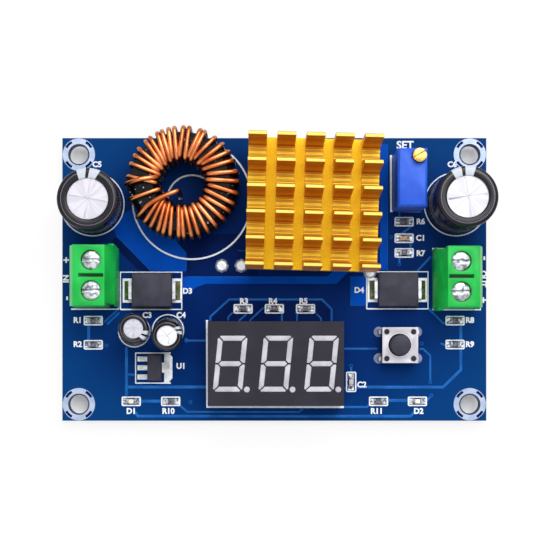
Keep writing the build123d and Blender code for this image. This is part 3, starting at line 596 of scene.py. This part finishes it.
# a painted highlight ring, and painted shade in the gap round the plunger
steelTree = satinSteel.node_tree
steelReach = reach(steelTree, *spot(steelTree, *buttonCentre)[:2])
ringLight = both(steelTree, under(steelTree, steelReach, 2.06), ramp(steelTree, steelReach, 1.88, 1.92))
paintOver(satinSteel, ringLight, rgb(244, 242, 248))
paintOver(satinSteel, under(steelTree, steelReach, 1.9, 0.02), rgb(44, 44, 54))
displayPlastic = finish("displayFace", rgb(40, 39, 52), rgb(32, 31, 42), 260, 5200, (0.5, 0.62), 0.25,
                        Specular_IOR_Level=0.25)
displayResin = finish("displayResin", rgb(202, 200, 208), rgb(180, 178, 187), 500, 3800, (0.4, 0.55), 0.2,
                      Specular_IOR_Level=0.3)
darkChip = finish("chipGlaze", rgb(120, 120, 130), rgb(36, 36, 44), 2600, 5200, (0.3, 0.42), 0.2)
brownChip = finish("chipCeramic", rgb(222, 176, 138), rgb(190, 138, 96), 1200, 5200, (0.35, 0.5), 0.3)
# the capacitors on the lower half of the board are pale
brownTree = brownChip.node_tree
paintOver(brownChip, under(brownTree, spot(brownTree)[1], 0.0, 0.1), rgb(196, 196, 204))
chipTin = finish("chipTin", rgb(196, 198, 208), rgb(66, 68, 80), 2400, 5200, (0.3, 0.5), 0.3, Metallic=0.3)
lampResin = finish("lampResin", rgb(250, 250, 242), rgb(234, 232, 214), 900, 4200, (0.15, 0.28), 0.15)

nodeFinish = {
    "circuit_board": solderMask, "solder_joints": solder, "surface_pads": padTin, "inductor_core": coreCoat,
    "regulator_leads": tinned, "regulator_case": moulded, "thermal_pad": rubber,
    "input_terminal_contacts": tinned, "output_terminal_contacts": tinned,
    "button_base": blackPlastic, "button_dome": satinSteel, "button_legs": tinned,
    "display_housing": displayPlastic, "display_pins": tinned, "trimmer_pins": tinned,
    "driver_case": moulded, "driver_leads": tinned, "small_regulator_leads": tinned,
    "input_diode_leads": tinned, "output_diode_leads": tinned,
}
for side, number in clamps:
    nodeFinish[f"{side}_terminal_cage_{number}"] = zinc
for name in cadNodes:
    if name.endswith("capacitor_leads"):
        nodeFinish[name] = tinned
    if name.endswith("_seal"):
        nodeFinish[name] = sealRubber
for name, material in nodeFinish.items():
    cadNodes[name].data.materials.clear()
    cadNodes[name].data.materials.append(material)

print("materials made")


# copies of hard pieces with eased edges

easedCopies = [
    ("regulator_case", "regulatorBody", 0.12, moulded),
    ("input_diode_case", "inputDiodeBody", 0.12, moulded),
    ("output_diode_case", "outputDiodeBody", 0.12, moulded),
    ("input_terminal_housing", "inputTerminalBlock", 0.1, greenPlastic),
    ("output_terminal_housing", "outputTerminalBlock", 0.1, greenPlastic),
    ("trimmer_housing", "trimmerBlock", 0.08, bluePlastic),
    ("trimmer_screw", "trimmerAdjuster", 0.07, brass),
    ("button_cover", "buttonShield", 0.04, satinSteel),
    ("button_plunger", "buttonCap", 0.1, greyPlunger),
    ("display_segments", "displayBars", 0.05, displayResin),
    ("small_regulator_case", "smallRegulatorBody", 0.08, moulded),
    ("chip_resistors", "resistorChips", 0.05, darkChip),
    ("chip_capacitors", "capacitorChips", 0.08, brownChip),
    ("indicator_lamps", "lampChips", 0.06, lampResin),
    ("chip_ends", "chipCaps", 0.06, chipTin),
]
for side, number in clamps:
    easedCopies.append((f"{side}_terminal_screw_{number}", f"{side}ClampScrew{number}", 0.08, zinc))
for node, name, width, material in easedCopies:
    softCopy(node, name, width, material)

print("hard pieces eased")


# choke winding, smooth and a little uneven as wound by hand

winding = {
    "centre": (-15.25, 15.7), "inner": 4.02, "outer": 9.12, "low": 2.03, "high": 9.22, "wire": 0.405,
    "lead": (-0.66, -1.42), "firstOut": 217.3, "lastOut": 542, "wide": 9.5, "leadLow": -1.7,
    # where each turn comes up the hole and where it goes down outside, in degrees
    "turns": [
        (197, 198), (216.4, 226.1), (222, 234.2), (231, 242.9), (238.3, 249.1), (247.6, 256.8),
        (260.7, 266), (268, 271.4), (275, 279.7), (286, 287.3), (295, 297.3), (305, 307.4),
        (317, 318), (327, 328.3), (341, 337.1), (353.6, 348.6), (366, 361), (377.7, 371.2),
        (391.7, 383.4), (403, 393.6), (410, 403.6), (423, 414.2), (430, 426.4), (436, 431.2),
        (444, 443), (456.5, 449.2), (463, 458.6), (472.5, 464.9), (479, 472.2), (488, 477.4),
        (493, 486.2), (500, 492.2), (506.3, 502.9), (514, 510.9), (522, 520.3), (541, 534.1),
    ],
    "layApart": 0.2, "uneven": 0.05,  # how far neighbours lie apart in the hole, and rise and fall
    "lastUp": 529.6,
}


def windingSpot(radius, angle, height):
    x, y = winding["centre"]
    return x + radius * cos(radians(angle)), y + radius * sin(radians(angle)), height


def windingRoute():
    low, high, inner, outer, wide = (winding[key] for key in ("low", "high", "inner", "outer", "wide"))
    lastOut, lastUp = winding["lastOut"], winding["lastUp"]
    x, y = (centre + lead for centre, lead in zip(winding["centre"], winding["lead"]))
    down = winding["firstOut"]
    # up through the board and the hole, and over to the outside
    route = [(x, y, winding["leadLow"]), (x, y, 4), (x, y, high - 0.3), (x - 0.2, y - 0.12, high + 0.85)]
    places = [(6.2, 213, high + 0.8), (outer, down, high + 0.3), (wide, down, high - 1.6)]
    for index, (up, out) in enumerate(winding["turns"]):
        lay = winding["layApart"] * (-1) ** index
        lift = winding["uneven"] * sin(index * 2.3)
        places += [
            (outer + 0.02, down, high - 1.9), (outer + 0.02, down, low + 1.3), (outer - 0.35, down, low),
            (inner + 0.3, up, low), (inner - lay, up, low + 1.1), (inner - lay, up, high - 1.0),
            (inner + 0.3 - lay, up, high + lift + 0.04), (outer - 0.38, out, high + lift),
            (outer + 0.02, out, high - 0.9),
        ]
        down = out
    # the last turn crosses the others, and goes down through the board
    places += [
        (outer + 0.02, down, low + 1.3), (outer - 0.35, down, low), (inner + 0.3, lastUp, low),
        (inner, lastUp, low + 1.1), (inner, lastUp, high - 1), (inner + 0.3, lastUp, high + 0.25),
        (7.0, 537, high + 0.95), (wide - 0.3, lastOut, high + 0.2), (wide - 0.2, lastOut, high - 1.3),
        (outer, lastOut, low + 1.2), (outer, lastOut, 1), (outer, lastOut, winding["leadLow"]),
    ]
    return route + [windingSpot(*place) for place in places]


drawPaths("copperWinding", [windingRoute()])
coil = converted("CURVE")
coil.data.dimensions = "3D"
bpy.ops.object.mode_set(mode="EDIT")
bpy.ops.curve.select_all(action="SELECT")
bpy.ops.curve.spline_type_set(type="NURBS")
endEdit()
for strand in coil.data.splines:
    strand.use_endpoint_u = True
    strand.order_u = 3
    strand.resolution_u = 5
coil.data.bevel_depth = winding["wire"] * mm
coil.data.bevel_resolution = 4
coil.data.use_fill_caps = True
coil = converted("MESH")
smoothBy(coil, 60)
dress(coil, enamel, "module", ["inductor_winding"])

print("winding wound")


# heatsink: ribbed fins on a slab, sawn across into teeth

sink = {
    "centre": (6.3, 12.05), "turn": -1.5, "seat": 6.7, "side": 21.8, "base": 2.0, "height": 10.0,
    "pitch": 4.18, "fins": 6, "tip": 0.5, "root": 1.6, "ribs": 3, "ribDepth": 0.16, "foot": 0.5,
    "toothPitch": 4.69, "toothWidth": 3.01, "teeth": 5, "cutFloor": 1.9, "ridge": 0.2, "ridgeHalf": 0.17,
    "ridgeShares": (0.24, 0.76), "combLow": 1.2,
}

gold = finish("goldAnodising", rgb(255, 222, 56), rgb(255, 212, 38), 250, 5000, (0.34, 0.46), 0.08,
              Metallic=0.4, Specular_IOR_Level=0.4)
goldTree = gold.node_tree
sinkX, sinkY, sinkZ = spot(goldTree, *sink["centre"], sink["seat"], sink["turn"])
drawnOut = streaks(goldTree, calc(goldTree, "MULTIPLY", sinkX, 0.02), sinkY, sinkZ, 1.6, 1.0)
paintOver(gold, ramp(goldTree, drawnOut, 0.4, 0.7, 0.0, 0.3), rgb(240, 178, 22))
# painted shade on the fins' flanks, darker towards the top and in the dips between their ribs
steep = under(goldTree, absolute(goldTree, facing(goldTree)[2]), 0.8, 0.05)
paintOver(gold, calc(goldTree, "MULTIPLY", steep, 0.8), rgb(222, 138, 12))
paintOver(gold, both(goldTree, steep, ramp(goldTree, sinkZ, 4.6, 6.4, 0.0, 0.7)), rgb(186, 100, 4))
finFoot = sink["base"] + sink["foot"]
halfRib = (sink["height"] - finFoot) / sink["ribs"] / 2
ribCycle = calc(goldTree, "PINGPONG", calc(goldTree, "SUBTRACT", sinkZ, finFoot), halfRib)
ribShade = calc(goldTree, "MULTIPLY", under(goldTree, ribCycle, 0.26, 0.12), 0.5)
paintOver(gold, both(goldTree, steep, ribShade), rgb(156, 82, 4))
# painted highlights along the floor's ridges and the fins' crests
ridgeLight = both(goldTree, ramp(goldTree, sinkZ, 2.08, 2.11), under(goldTree, sinkZ, 2.26))
crestLight = ramp(goldTree, sinkZ, 9.9, 9.95)
paintedHighlights = calc(goldTree, "MAXIMUM", calc(goldTree, "MULTIPLY", ridgeLight, 0.8), crestLight)
paintOver(gold, paintedHighlights, rgb(250, 208, 96))
# the sawn channels, grainy and matt
halfPitch = sink["toothPitch"] / 2
fromCut = calc(goldTree, "PINGPONG", calc(goldTree, "ADD", sinkX, halfPitch), halfPitch)
sawn = both(goldTree, under(goldTree, fromCut, 0.85), under(goldTree, sinkZ, 1.96),
            ramp(goldTree, facing(goldTree)[2], 0.4, 0.6))
grit = ramp(goldTree, streaks(goldTree, sinkX, sinkY, sinkZ, 7.0, 4.0), 0.4, 0.7)
paintOver(gold, sawn, blendColors(goldTree, grit, rgb(255, 214, 22), rgb(248, 178, 10)))
glossOver(gold, sawn, 0.6)


def sinkSpot(across, along, height):
    # a place on the heatsink, which sits a little askew
    turn = radians(sink["turn"])
    x, y = sink["centre"]
    return (x + across * cos(turn) - along * sin(turn), y + across * sin(turn) + along * cos(turn),
            sink["seat"] + height)


def finFlank(centre, side):
    # one side of a fin from its foot up, waved by its ribs
    points = [(centre + side * (sink["root"] / 2 + sink["foot"]), sink["base"])]
    foot = sink["base"] + sink["foot"]
    steps = 6 * sink["ribs"]
    for step in range(steps + 1):
        share = step / steps
        half = (sink["root"] + (sink["tip"] - sink["root"]) * share) / 2
        half += sink["ribDepth"] * (0.5 - 0.5 * cos(tau * sink["ribs"] * share))
        points.append((centre + side * half, foot + share * (sink["height"] - foot)))
    return points


def combOutline():
    limit = sink["side"] / 2
    first = -(sink["fins"] - 1) / 2 * sink["pitch"]
    gap = sink["pitch"] - sink["root"] - 2 * sink["foot"]
    points = [(-limit, sink["combLow"])]
    for index in range(sink["fins"]):
        centre = first + index * sink["pitch"]
        points += finFlank(centre, -1) + finFlank(centre, 1)[::-1]
        if index < sink["fins"] - 1:
            for share in sink["ridgeShares"]:
                ridge = centre + sink["root"] / 2 + sink["foot"] + share * gap
                points += [(ridge - sink["ridgeHalf"], sink["base"]), (ridge, sink["base"] + sink["ridge"]),
                           (ridge + sink["ridgeHalf"], sink["base"])]
    points.append((limit, sink["combLow"]))
    return [(min(max(along, -limit), limit), height) for along, height in points]


def acrossSink(length):
    # a push of that length across the fins
    turn = radians(sink["turn"])
    return length * cos(turn), length * sin(turn), 0


half = sink["side"] / 2
slab = pushed("sinkSlab", [[sinkSpot(-half, along, height) for along, height in
                            ((-half, 0), (half, 0), (half, sink["cutFloor"]), (-half, sink["cutFloor"]))]],
              acrossSink(sink["side"]))
softEdges(slab, 0.06, 2, 30, True)
firstTooth = -(sink["teeth"] - 1) / 2 * sink["toothPitch"] - sink["toothWidth"] / 2
tooth = pushed("sinkTeeth", [[sinkSpot(firstTooth, along, height) for along, height in combOutline()]],
               acrossSink(sink["toothWidth"]))
softEdges(tooth, 0.05, 1, 55, True)
parts = [slab, tooth]
for number in range(1, sink["teeth"]):
    row = tooth.copy()
    row.data = tooth.data.copy()
    bpy.context.scene.collection.objects.link(row)
    workOn(row)
    editAll()
    bpy.ops.transform.translate(value=[length * mm for length in acrossSink(number * sink["toothPitch"])])
    endEdit()
    parts.append(row)
goldSink = joined("goldHeatsink", parts)
smoothBy(goldSink, 24)
dress(goldSink, gold, "module", ["heatsink"])

print("heatsink cut")


# solder that climbs the ends of the two power diodes, and the button's lands

diodeFillets = {"spots": [(-20.7, -1.9), (20.9, -1.8)], "start": 3.84, "reach": 0.9, "low": boardTop + 0.1,
                "rise": 1.15, "half": 1.6}
# shares of the reach and the rise, steep at the diode and thin at the end
curve = [(0, 0), (0, 1), (0.12, 0.62), (0.32, 0.32), (0.6, 0.13), (1, 0.02), (1, 0)]
climbs = []
for x, y in diodeFillets["spots"]:
    for side in (-1, 1):
        outline = [(x + side * (diodeFillets["start"] + diodeFillets["reach"] * out),
                    y - diodeFillets["half"], diodeFillets["low"] + diodeFillets["rise"] * up)
                   for out, up in curve]
        climb = pushed("climb", [outline], (0, 2 * diodeFillets["half"], 0))
        softEdges(climb, 0.12, 2, 40, True)
        smoothBy(climb, 50)
        climbs.append(climb)
dress(joined("diodeSolder", climbs), filletReflection)

buttonLands = {"spread": (3.25, 2.25), "inner": 0.42, "outer": 0.865, "high": boardTop + 0.03}
landProfile = [
    (buttonLands["inner"], boardTop), (buttonLands["outer"], boardTop),
    (buttonLands["outer"] - 0.04, buttonLands["high"]), (buttonLands["inner"], buttonLands["high"]),
]
lands = []
for sideX in (-1, 1):
    for sideY in (-1, 1):
        x = buttonCentre[0] + sideX * buttonLands["spread"][0]
        y = buttonCentre[1] + sideY * buttonLands["spread"][1]
        lands.append(lathe("land", landProfile, x, y, 32))
dress(joined("buttonLands", lands), legMask)

print("solder and lands done")


# capacitors: shrunk sleeves with their stripes

largeCan = {"radius": 5.0, "height": 13.3, "half": 24.5, "fold": 4.32, "shine": 0.5, "rays": 0.5}
smallCan = {"radius": 2.5, "height": 11.5, "fold": 2.1, "shine": 0.3, "rays": 0.25}
capacitors = {
    "input_capacitor": {**largeCan, "x": -30.88, "y": 12.7, "vent": 3.34, "stripe": 81.5,
                        "lean": (0.6, -0.36), "bright": rgb(216, 214, 224)},
    "output_capacitor": {**largeCan, "x": 30.85, "y": 12.7, "vent": 3.4, "stripe": 96.3,
                         "lean": (0.25, 0.0), "bright": rgb(224, 222, 232)},
    "left_small_capacitor": {**smallCan, "x": -23.6, "y": -8.8, "vent": 1.6, "stripe": -20, "half": 17,
                             "lean": (0.57, 0.22), "bright": rgb(206, 206, 217)},
    "right_small_capacitor": {**smallCan, "x": -17.95, "y": -8.9, "vent": 1.65, "stripe": 2, "half": 15,
                              "lean": (0.38, -0.84), "bright": rgb(240, 239, 245)},
}


def sleeveProfile(radius, height, vent):
    base = boardTop + 0.3
    top = boardTop + height
    groove = base + 1.9
    return [
        (radius - 0.35, base), (radius - 0.08, base), (radius, base + 0.1), (radius, groove - 0.55),
        (radius - 0.05, groove - 0.38), (radius - 0.2, groove - 0.14), (radius - 0.25, groove),
        (radius - 0.2, groove + 0.14), (radius - 0.05, groove + 0.38), (radius, groove + 0.55),
        (radius, top - 0.6), (radius - 0.05, top - 0.34), (radius - 0.18, top - 0.14),
        (radius - 0.4, top - 0.02), (radius - 0.6, top), (vent + 0.35, top - 0.01),
        (vent + 0.1, top - 0.05), (vent, top - 0.14), (vent, top - 0.35), (radius - 0.35, top - 0.35),
    ]


def canTop(tree, facts, turn=0):
    # places measured from the middle of the leaned top
    return spot(tree, facts["x"] + facts["lean"][0], facts["y"] + facts["lean"][1],
                boardTop + facts["height"], turn)


def sleeveFilm(name, facts):
    film = finish(name + "Film", rgb(28, 26, 34), rgb(15, 14, 20), 200, 2600, (0.16, 0.26), 0.1,
                  Specular_IOR_Level=0.3)
    tree = film.node_tree
    x, y, z = spot(tree, facts["x"], facts["y"], boardTop, facts["stripe"])
    angle = absolute(tree, calc(tree, "ARCTAN2", y, x))
    topX, topY, topZ = canTop(tree, facts)
    # a painted highlight along the fold over the rim
    creaseHighlight = under(tree, off(tree, reach(tree, topX, topY), facts["fold"]), 0.045)
    onTop = ramp(tree, topZ, -1.2, -1.0, 0.0, facts["shine"])
    paintOver(film, both(tree, creaseHighlight, onTop), rgb(158, 156, 174))
    # the pale stripe of the negative side, with its dashes
    paintOver(film, under(tree, angle, radians(facts["half"]), 0.01), rgb(200, 207, 218))
    middle = under(tree, angle, radians(4), 0.01)
    dash = both(tree, middle, ramp(tree, calc(tree, "PINGPONG", z, 1.9), 0.55, 0.62))
    rimMark = both(tree, middle, ramp(tree, z, facts["height"] - 0.6, facts["height"] - 0.5))
    paintOver(film, calc(tree, "MAXIMUM", dash, rimMark), rgb(24, 24, 28))
    return film


def canMetal(name, facts):
    metal = finish(name + "Metal", facts["bright"], facts["bright"], 400, 5200, (0.42, 0.55), 0.2,
                   Metallic=0.3, Specular_IOR_Level=0.25)
    tree = metal.node_tree
    x, y = canTop(tree, facts)[:2]
    far = reach(tree, x, y)
    rays = streaks(tree, calc(tree, "DIVIDE", x, far), calc(tree, "DIVIDE", y, far),
                   calc(tree, "MULTIPLY", far, 0.06), 2.6, 3.0)
    paintOver(metal, ramp(tree, rays, 0.46, 0.62, 0.0, facts["rays"]), rgb(190, 187, 198))
    # two scores across the vent
    for turn in (42, 132):
        aside = absolute(tree, canTop(tree, facts, turn)[1])
        score = both(tree, under(tree, aside, 0.05), under(tree, far, 0.62 * facts["radius"]))
        paintOver(metal, calc(tree, "MULTIPLY", score, 0.6), rgb(168, 165, 178))
    return metal


for name, facts in capacitors.items():
    shell = lathe(name + "Sleeve", sleeveProfile(facts["radius"], facts["height"], facts["vent"]),
                  facts["x"], facts["y"])
    dress(leaned(shell, facts), sleeveFilm(name, facts), "module", [name + "_sleeve"])
    leaned(softCopy(name + "_can", name + "Can", 0, canMetal(name, facts)), facts)

print("capacitors dressed")


# copper under the mask, pads and printed marks

photoView = {"centre": (274.35, 279.15), "perMm": 5.888}  # pixels, at the board's level
printed = {"height": boardTop + 0.022, "thick": 0.016}


def fromPhoto(points, height=0):
    # places in mm of points that are given in the photo's pixels
    x0, y0 = photoView["centre"]
    return [((x - x0) / photoView["perMm"], (y0 - y) / photoView["perMm"], height) for x, y in points]


# the raised copper lines under the mask, by width in mm, in the photo's pixels
traceRuns = {
    0.35: [
        [(210.3, 320.6), (210.3, 316.5), (229.2, 299.2), (322, 299.2), (331.7, 308.9), (331.7, 320.6)],
        [(228.2, 320.1), (228.2, 317), (232.8, 311.9)], [(238.9, 320.6), (246.5, 314)],
        [(249.6, 320.6), (262.3, 308.4), (265.4, 307.3)], [(281.9, 313.5), (281.9, 320.6)],
        [(297, 320.6), (297, 313.5)], [(316.4, 313.5), (321, 318), (321, 320.6)],
        [(185.3, 338.5), (187.5, 340.4), (206, 340.4)], [(127.9, 374.3), (135.6, 374.3)],
        [(179.6, 404.9), (187.2, 411.6), (299, 411.6), (303, 408.5)],
        [(340, 406.8), (367, 406.8), (369.6, 404.3)], [(344.6, 348.5), (377.6, 348.5)],
        [(419.6, 348.7), (423.2, 348.7), (430.3, 355.3), (430.3, 380.8)],
        [(445.6, 322.7), (443, 322.7), (428.3, 307.9)], [(440.5, 343), (445.6, 345)],
        [(426.7, 400.7), (430.3, 396.6)], [(351.2, 366.5), (351.2, 371.6)], [(344.6, 388), (347.1, 388)],
        [(104.5, 321.7), (117.4, 309.7)], [(107, 324), (119.4, 312.4)], [(399.4, 212), (399.4, 216.7)],
        [(410.6, 226.9), (401.9, 233.1)], [(410.6, 243.3), (410.6, 247.3)],
        [(399.4, 257.6), (399.4, 262.7)], [(417.2, 270.8), (431, 256.5)],
    ],
    0.5: [
        [(127.9, 386.8), (206, 386.8)], [(126.5, 346.5), (126.5, 395.3)], [(140.8, 400.9), (161.4, 400.9)],
        [(134.6, 411.5), (138, 415.9), (410.4, 416), (416, 410.4)],
        [(356.3, 386.9), (443, 386.9), (460.9, 369.6), (460.9, 325.7)], [(388, 400.2), (408.4, 400.2)],
        [(88.7, 325), (88.7, 339.8)],
    ],
}
for width, runs in traceRuns.items():
    lines = [fromPhoto(run, boardTop) for run in runs]
    drawLines(f"traces{int(width * 100)}", lines, width, 0.02, traceMask, 1)


def boardFields(name, outlines, material, low, high):
    # flat areas on the board, their outlines in the photo's pixels
    for index, outline in enumerate(outlines):
        points = [point[:2] for point in fromPhoto(outline)]
        plate(f"{name}{index + 1}", [points], boardTop + low, boardTop + high, material)


boardFields("bareField", [
    [(112, 240), (118, 235.5), (152, 270.5), (139, 270.5), (116, 248)],
    [(186.2, 275.6), (186.2, 252.7), (178.5, 244.2), (176, 236), (258, 232), (258, 275.6)],
    [(230, 301), (321, 301), (330, 310), (330, 322), (212.5, 322), (212.5, 317)],
], bareMask, -0.006, 0.006)
boardFields("copperField", [
    [(380, 143.8), (387.6, 143.8), (387.6, 269.8), (380, 269.8)],
    [(350.7, 276), (366, 276), (366, 305.3), (350.7, 305.3)],
    [(116.5, 235.7), (151, 271), (186.2, 271), (186.2, 252.7), (178.5, 244.2), (170, 225), (140, 205),
     (124, 213), (113, 226)],
    [(183, 276.6), (328, 276.6), (340, 264.6), (348, 264.6), (348, 272), (336.5, 283.6), (206, 283.6),
     (197, 286.5), (191, 291), (183, 291)],
    [(372, 300), (366, 305.3), (366, 302), (372, 298)],
], pourMask, -0.004, 0.011)
drawLines("copperEdges", [fromPhoto(run, boardTop + 0.004) for run in (
    [(116.5, 235.7), (151, 271)], [(186.2, 270), (186.2, 252.7), (178.5, 244.2)],
    [(186.2, 276.6), (328, 276.6), (340, 264.6)],
    [(350.7, 276), (350.7, 305.3), (366, 305.3)], [(387.6, 143.8), (387.6, 269.8)],
    [(238, 250.5), (259, 250.5)],
)], 0.1, 0.014, traceMask)

def inked(points):
    return [(x, y, printed["height"]) for x, y in points]


def box(left, low, right, high, cut=0.0):
    return inked([(left + cut, low), (right - cut, low), (right, low + cut), (right, high - cut),
                  (right - cut, high), (left + cut, high), (left, high - cut), (left, low + cut),
                  (left + cut, low)])


chipBoxes = {
    "half": (1.52, 0.7), "uprightHalf": (0.77, 1.62), "cut": 0.1, "upright": (13.05, -17.4),
    "spots": [
        (-30.75, -7.0), (-30.75, -11.1), (-5.3, -5.0), (0.0, -5.0), (5.3, -5.0), (22.05, 9.8), (22.05, 4.5),
        (30.7, -7.0), (30.7, -11.05), (17.7, -20.7), (-17.6, -20.7), (-24.3, -20.7), (24.3, -20.7),
        (22.05, 7.0),
    ],
}


def boxRound(x, y, half):
    return box(x - half[0], y - half[1], x + half[0], y + half[1], chipBoxes["cut"])


printedLines = [boxRound(x, y, chipBoxes["half"]) for x, y in chipBoxes["spots"]]
printedLines += [
    boxRound(*chipBoxes["upright"], chipBoxes["uprightHalf"]),
    # round the diodes, the output terminal and the small regulator, and below the input terminal
    box(-26.13, -5.1, -15.72, 1.23), box(15.7, -5.0, 26.1, 1.3), box(26.9, -5.15, 35.0, 5.25),
    inked([(-17.6, -17.6), (-23.55, -17.6), (-23.55, -12.5), (-17.6, -12.5)]),
    inked([(-34.5, -5.05), (-26.5, -5.05), (-26.5, -3.4)]),
]
# beside the display and the trimmer
heavyLines = [
    inked([(-11.42, -6.9), (-11.42, -21.66), (11.8, -21.66)]),
    inked([(19.82, 21.1), (19.82, 11.58), (24.8, 11.58)]),
]
chokeRings = [arc(-13.99, 13.53, radius, 0, 360, printed["height"], 72) for radius in (10.1, 4.18)]
capRings = [arc(x, y, radius, 0, 360, printed["height"], 48) for x, y, radius in
            ((30.85, 12.76, 5.37), (-30.88, 12.76, 5.37), (-23.79, -8.81, 2.65), (-18.06, -8.64, 2.65))]
for name, lines, width in (("printedLines", printedLines, 0.24), ("chokeRings", chokeRings, 0.3),
                           ("capRings", capRings, 0.2), ("heavyLines", heavyLines, 0.38)):
    drawLines(name, lines, width, printed["thick"], silk)
vias = [arc(x, y, 0.24, 0, 360, boardTop, 12) for x, y, height in fromPhoto(
    [(186.2, 340.4), (106.5, 345.2), (399.4, 264), (430.3, 382), (351.2, 365.5), (391.4, 236.8),
     (431.5, 395), (393, 343), (421.7, 343.3), (190.5, 402)])]
drawLines("viaRings", vias, 0.13, 0.03, traceMask)

markStyle = {"height": boardTop + 0.03, "size": 0.95, "em": 1.38, "weight": 0.055, "thick": 0.008}
# text, X, Y, and for some the size and the turn
printedMarks = [
    ("R1", -33.4, -6.95), ("R2", -33.4, -11.05), ("R3", -5.15, -3.72), ("R4", -0.25, -3.72),
    ("R5", 4.95, -3.72), ("R6", 24.85, 9.8), ("C1", 24.85, 7.0), ("R7", 24.85, 4.4), ("R8", 33.2, -6.95),
    ("R9", 33.2, -11.05), ("C2", 14.85, -17.9), ("D1", -24.3, -22.4), ("R10", -18.0, -22.4),
    ("R11", 17.4, -22.4), ("D2", 24.5, -22.4), ("U1", -15.85, -14.75), ("C3", -21.6, -6.1),
    ("C4", -15.85, -6.1), ("D3", -14.75, -2.0), ("D4", 14.4, -1.85), ("C5", -30.1, 19.5),
    ("C6", 30.2, 19.5), ("SET", 22.2, 22.75, 1.35, 0), ("+", -35.35, 3.2, 1.3, 0),
    ("IN", -35.35, 0.1, 0.95, 90), ("-", -35.35, -3.2, 1.5, 90), ("OUT", 35.5, 0.1, 0.95, 270),
    ("+", 35.5, -3.6, 1.3, 0), ("-", 35.5, 3.6, 1.5, 90),
]
markPieces = []
for text, x, y, *rest in printedMarks:
    letters, turn = rest or (markStyle["size"], 0)
    clearSelection()
    place = Vector((x, y, markStyle["height"])) * mm
    bpy.ops.object.text_add(location=place, rotation=(0, 0, radians(turn)))
    mark = bpy.context.object
    mark.data.body = text
    mark.data.align_x, mark.data.align_y = "CENTER", "CENTER"
    mark.data.size = letters * markStyle["em"] * mm
    mark.data.offset = markStyle["weight"] * mm
    mark.data.extrude = markStyle["thick"] * mm
    mark.data.resolution_u = 3
    markPieces.append(converted("MESH"))
marks = joined("printedMarks", markPieces)
settle(marks)
dress(marks, silk)

# lands of the small regulator: one for its tab and one for each lead
tabLand = [(-18.71, -12.46), (-17.98, -12.46), (-17.3, -13.2), (-17.3, -16.8), (-17.98, -17.55),
           (-18.71, -17.55)]
leadLands = {"left": -23.24, "right": -21.3, "half": 0.43, "centres": (-13.51, -15.0, -16.57)}
regulatorLands = [tabLand]
for y in leadLands["centres"]:
    low, high = y - leadLands["half"], y + leadLands["half"]
    regulatorLands.append([(leadLands["left"], low), (leadLands["right"], low), (leadLands["right"], high),
                           (leadLands["left"], high)])
plate("regulatorLands", regulatorLands, boardTop, boardTop + 0.115, landTin, 0.03)

print("board printed")


# mounting pads and their mask bridges

padRing = {"inner": 1.8, "outer": 2.76, "high": boardTop + 0.03, "bridge": 2.42, "bridgeWidth": 0.44,
           "bridgeThick": 0.012, "span": 16}
ringProfile = [(padRing["inner"], boardTop), (padRing["outer"], boardTop),
               (padRing["outer"] - 0.03, padRing["high"]), (padRing["inner"] + 0.03, padRing["high"])]
holeX, holeY = board["hole"]
rings = []
bridges = []
for x in (-holeX, holeX):
    for y in (-holeY, holeY):
        rings.append(lathe("mountingRing", ringProfile, x, y, 48))
        for turn in (45, 135, 225, 315):
            start, end = turn - padRing["span"], turn + padRing["span"]
            bridges.append(arc(x, y, padRing["bridge"], start, end, padRing["high"], 8))
dress(joined("mountingRings", rings), padSilver)
drawLines("maskBridges", bridges, padRing["bridgeWidth"], padRing["bridgeThick"], bareMask)

print("mounting pads done")
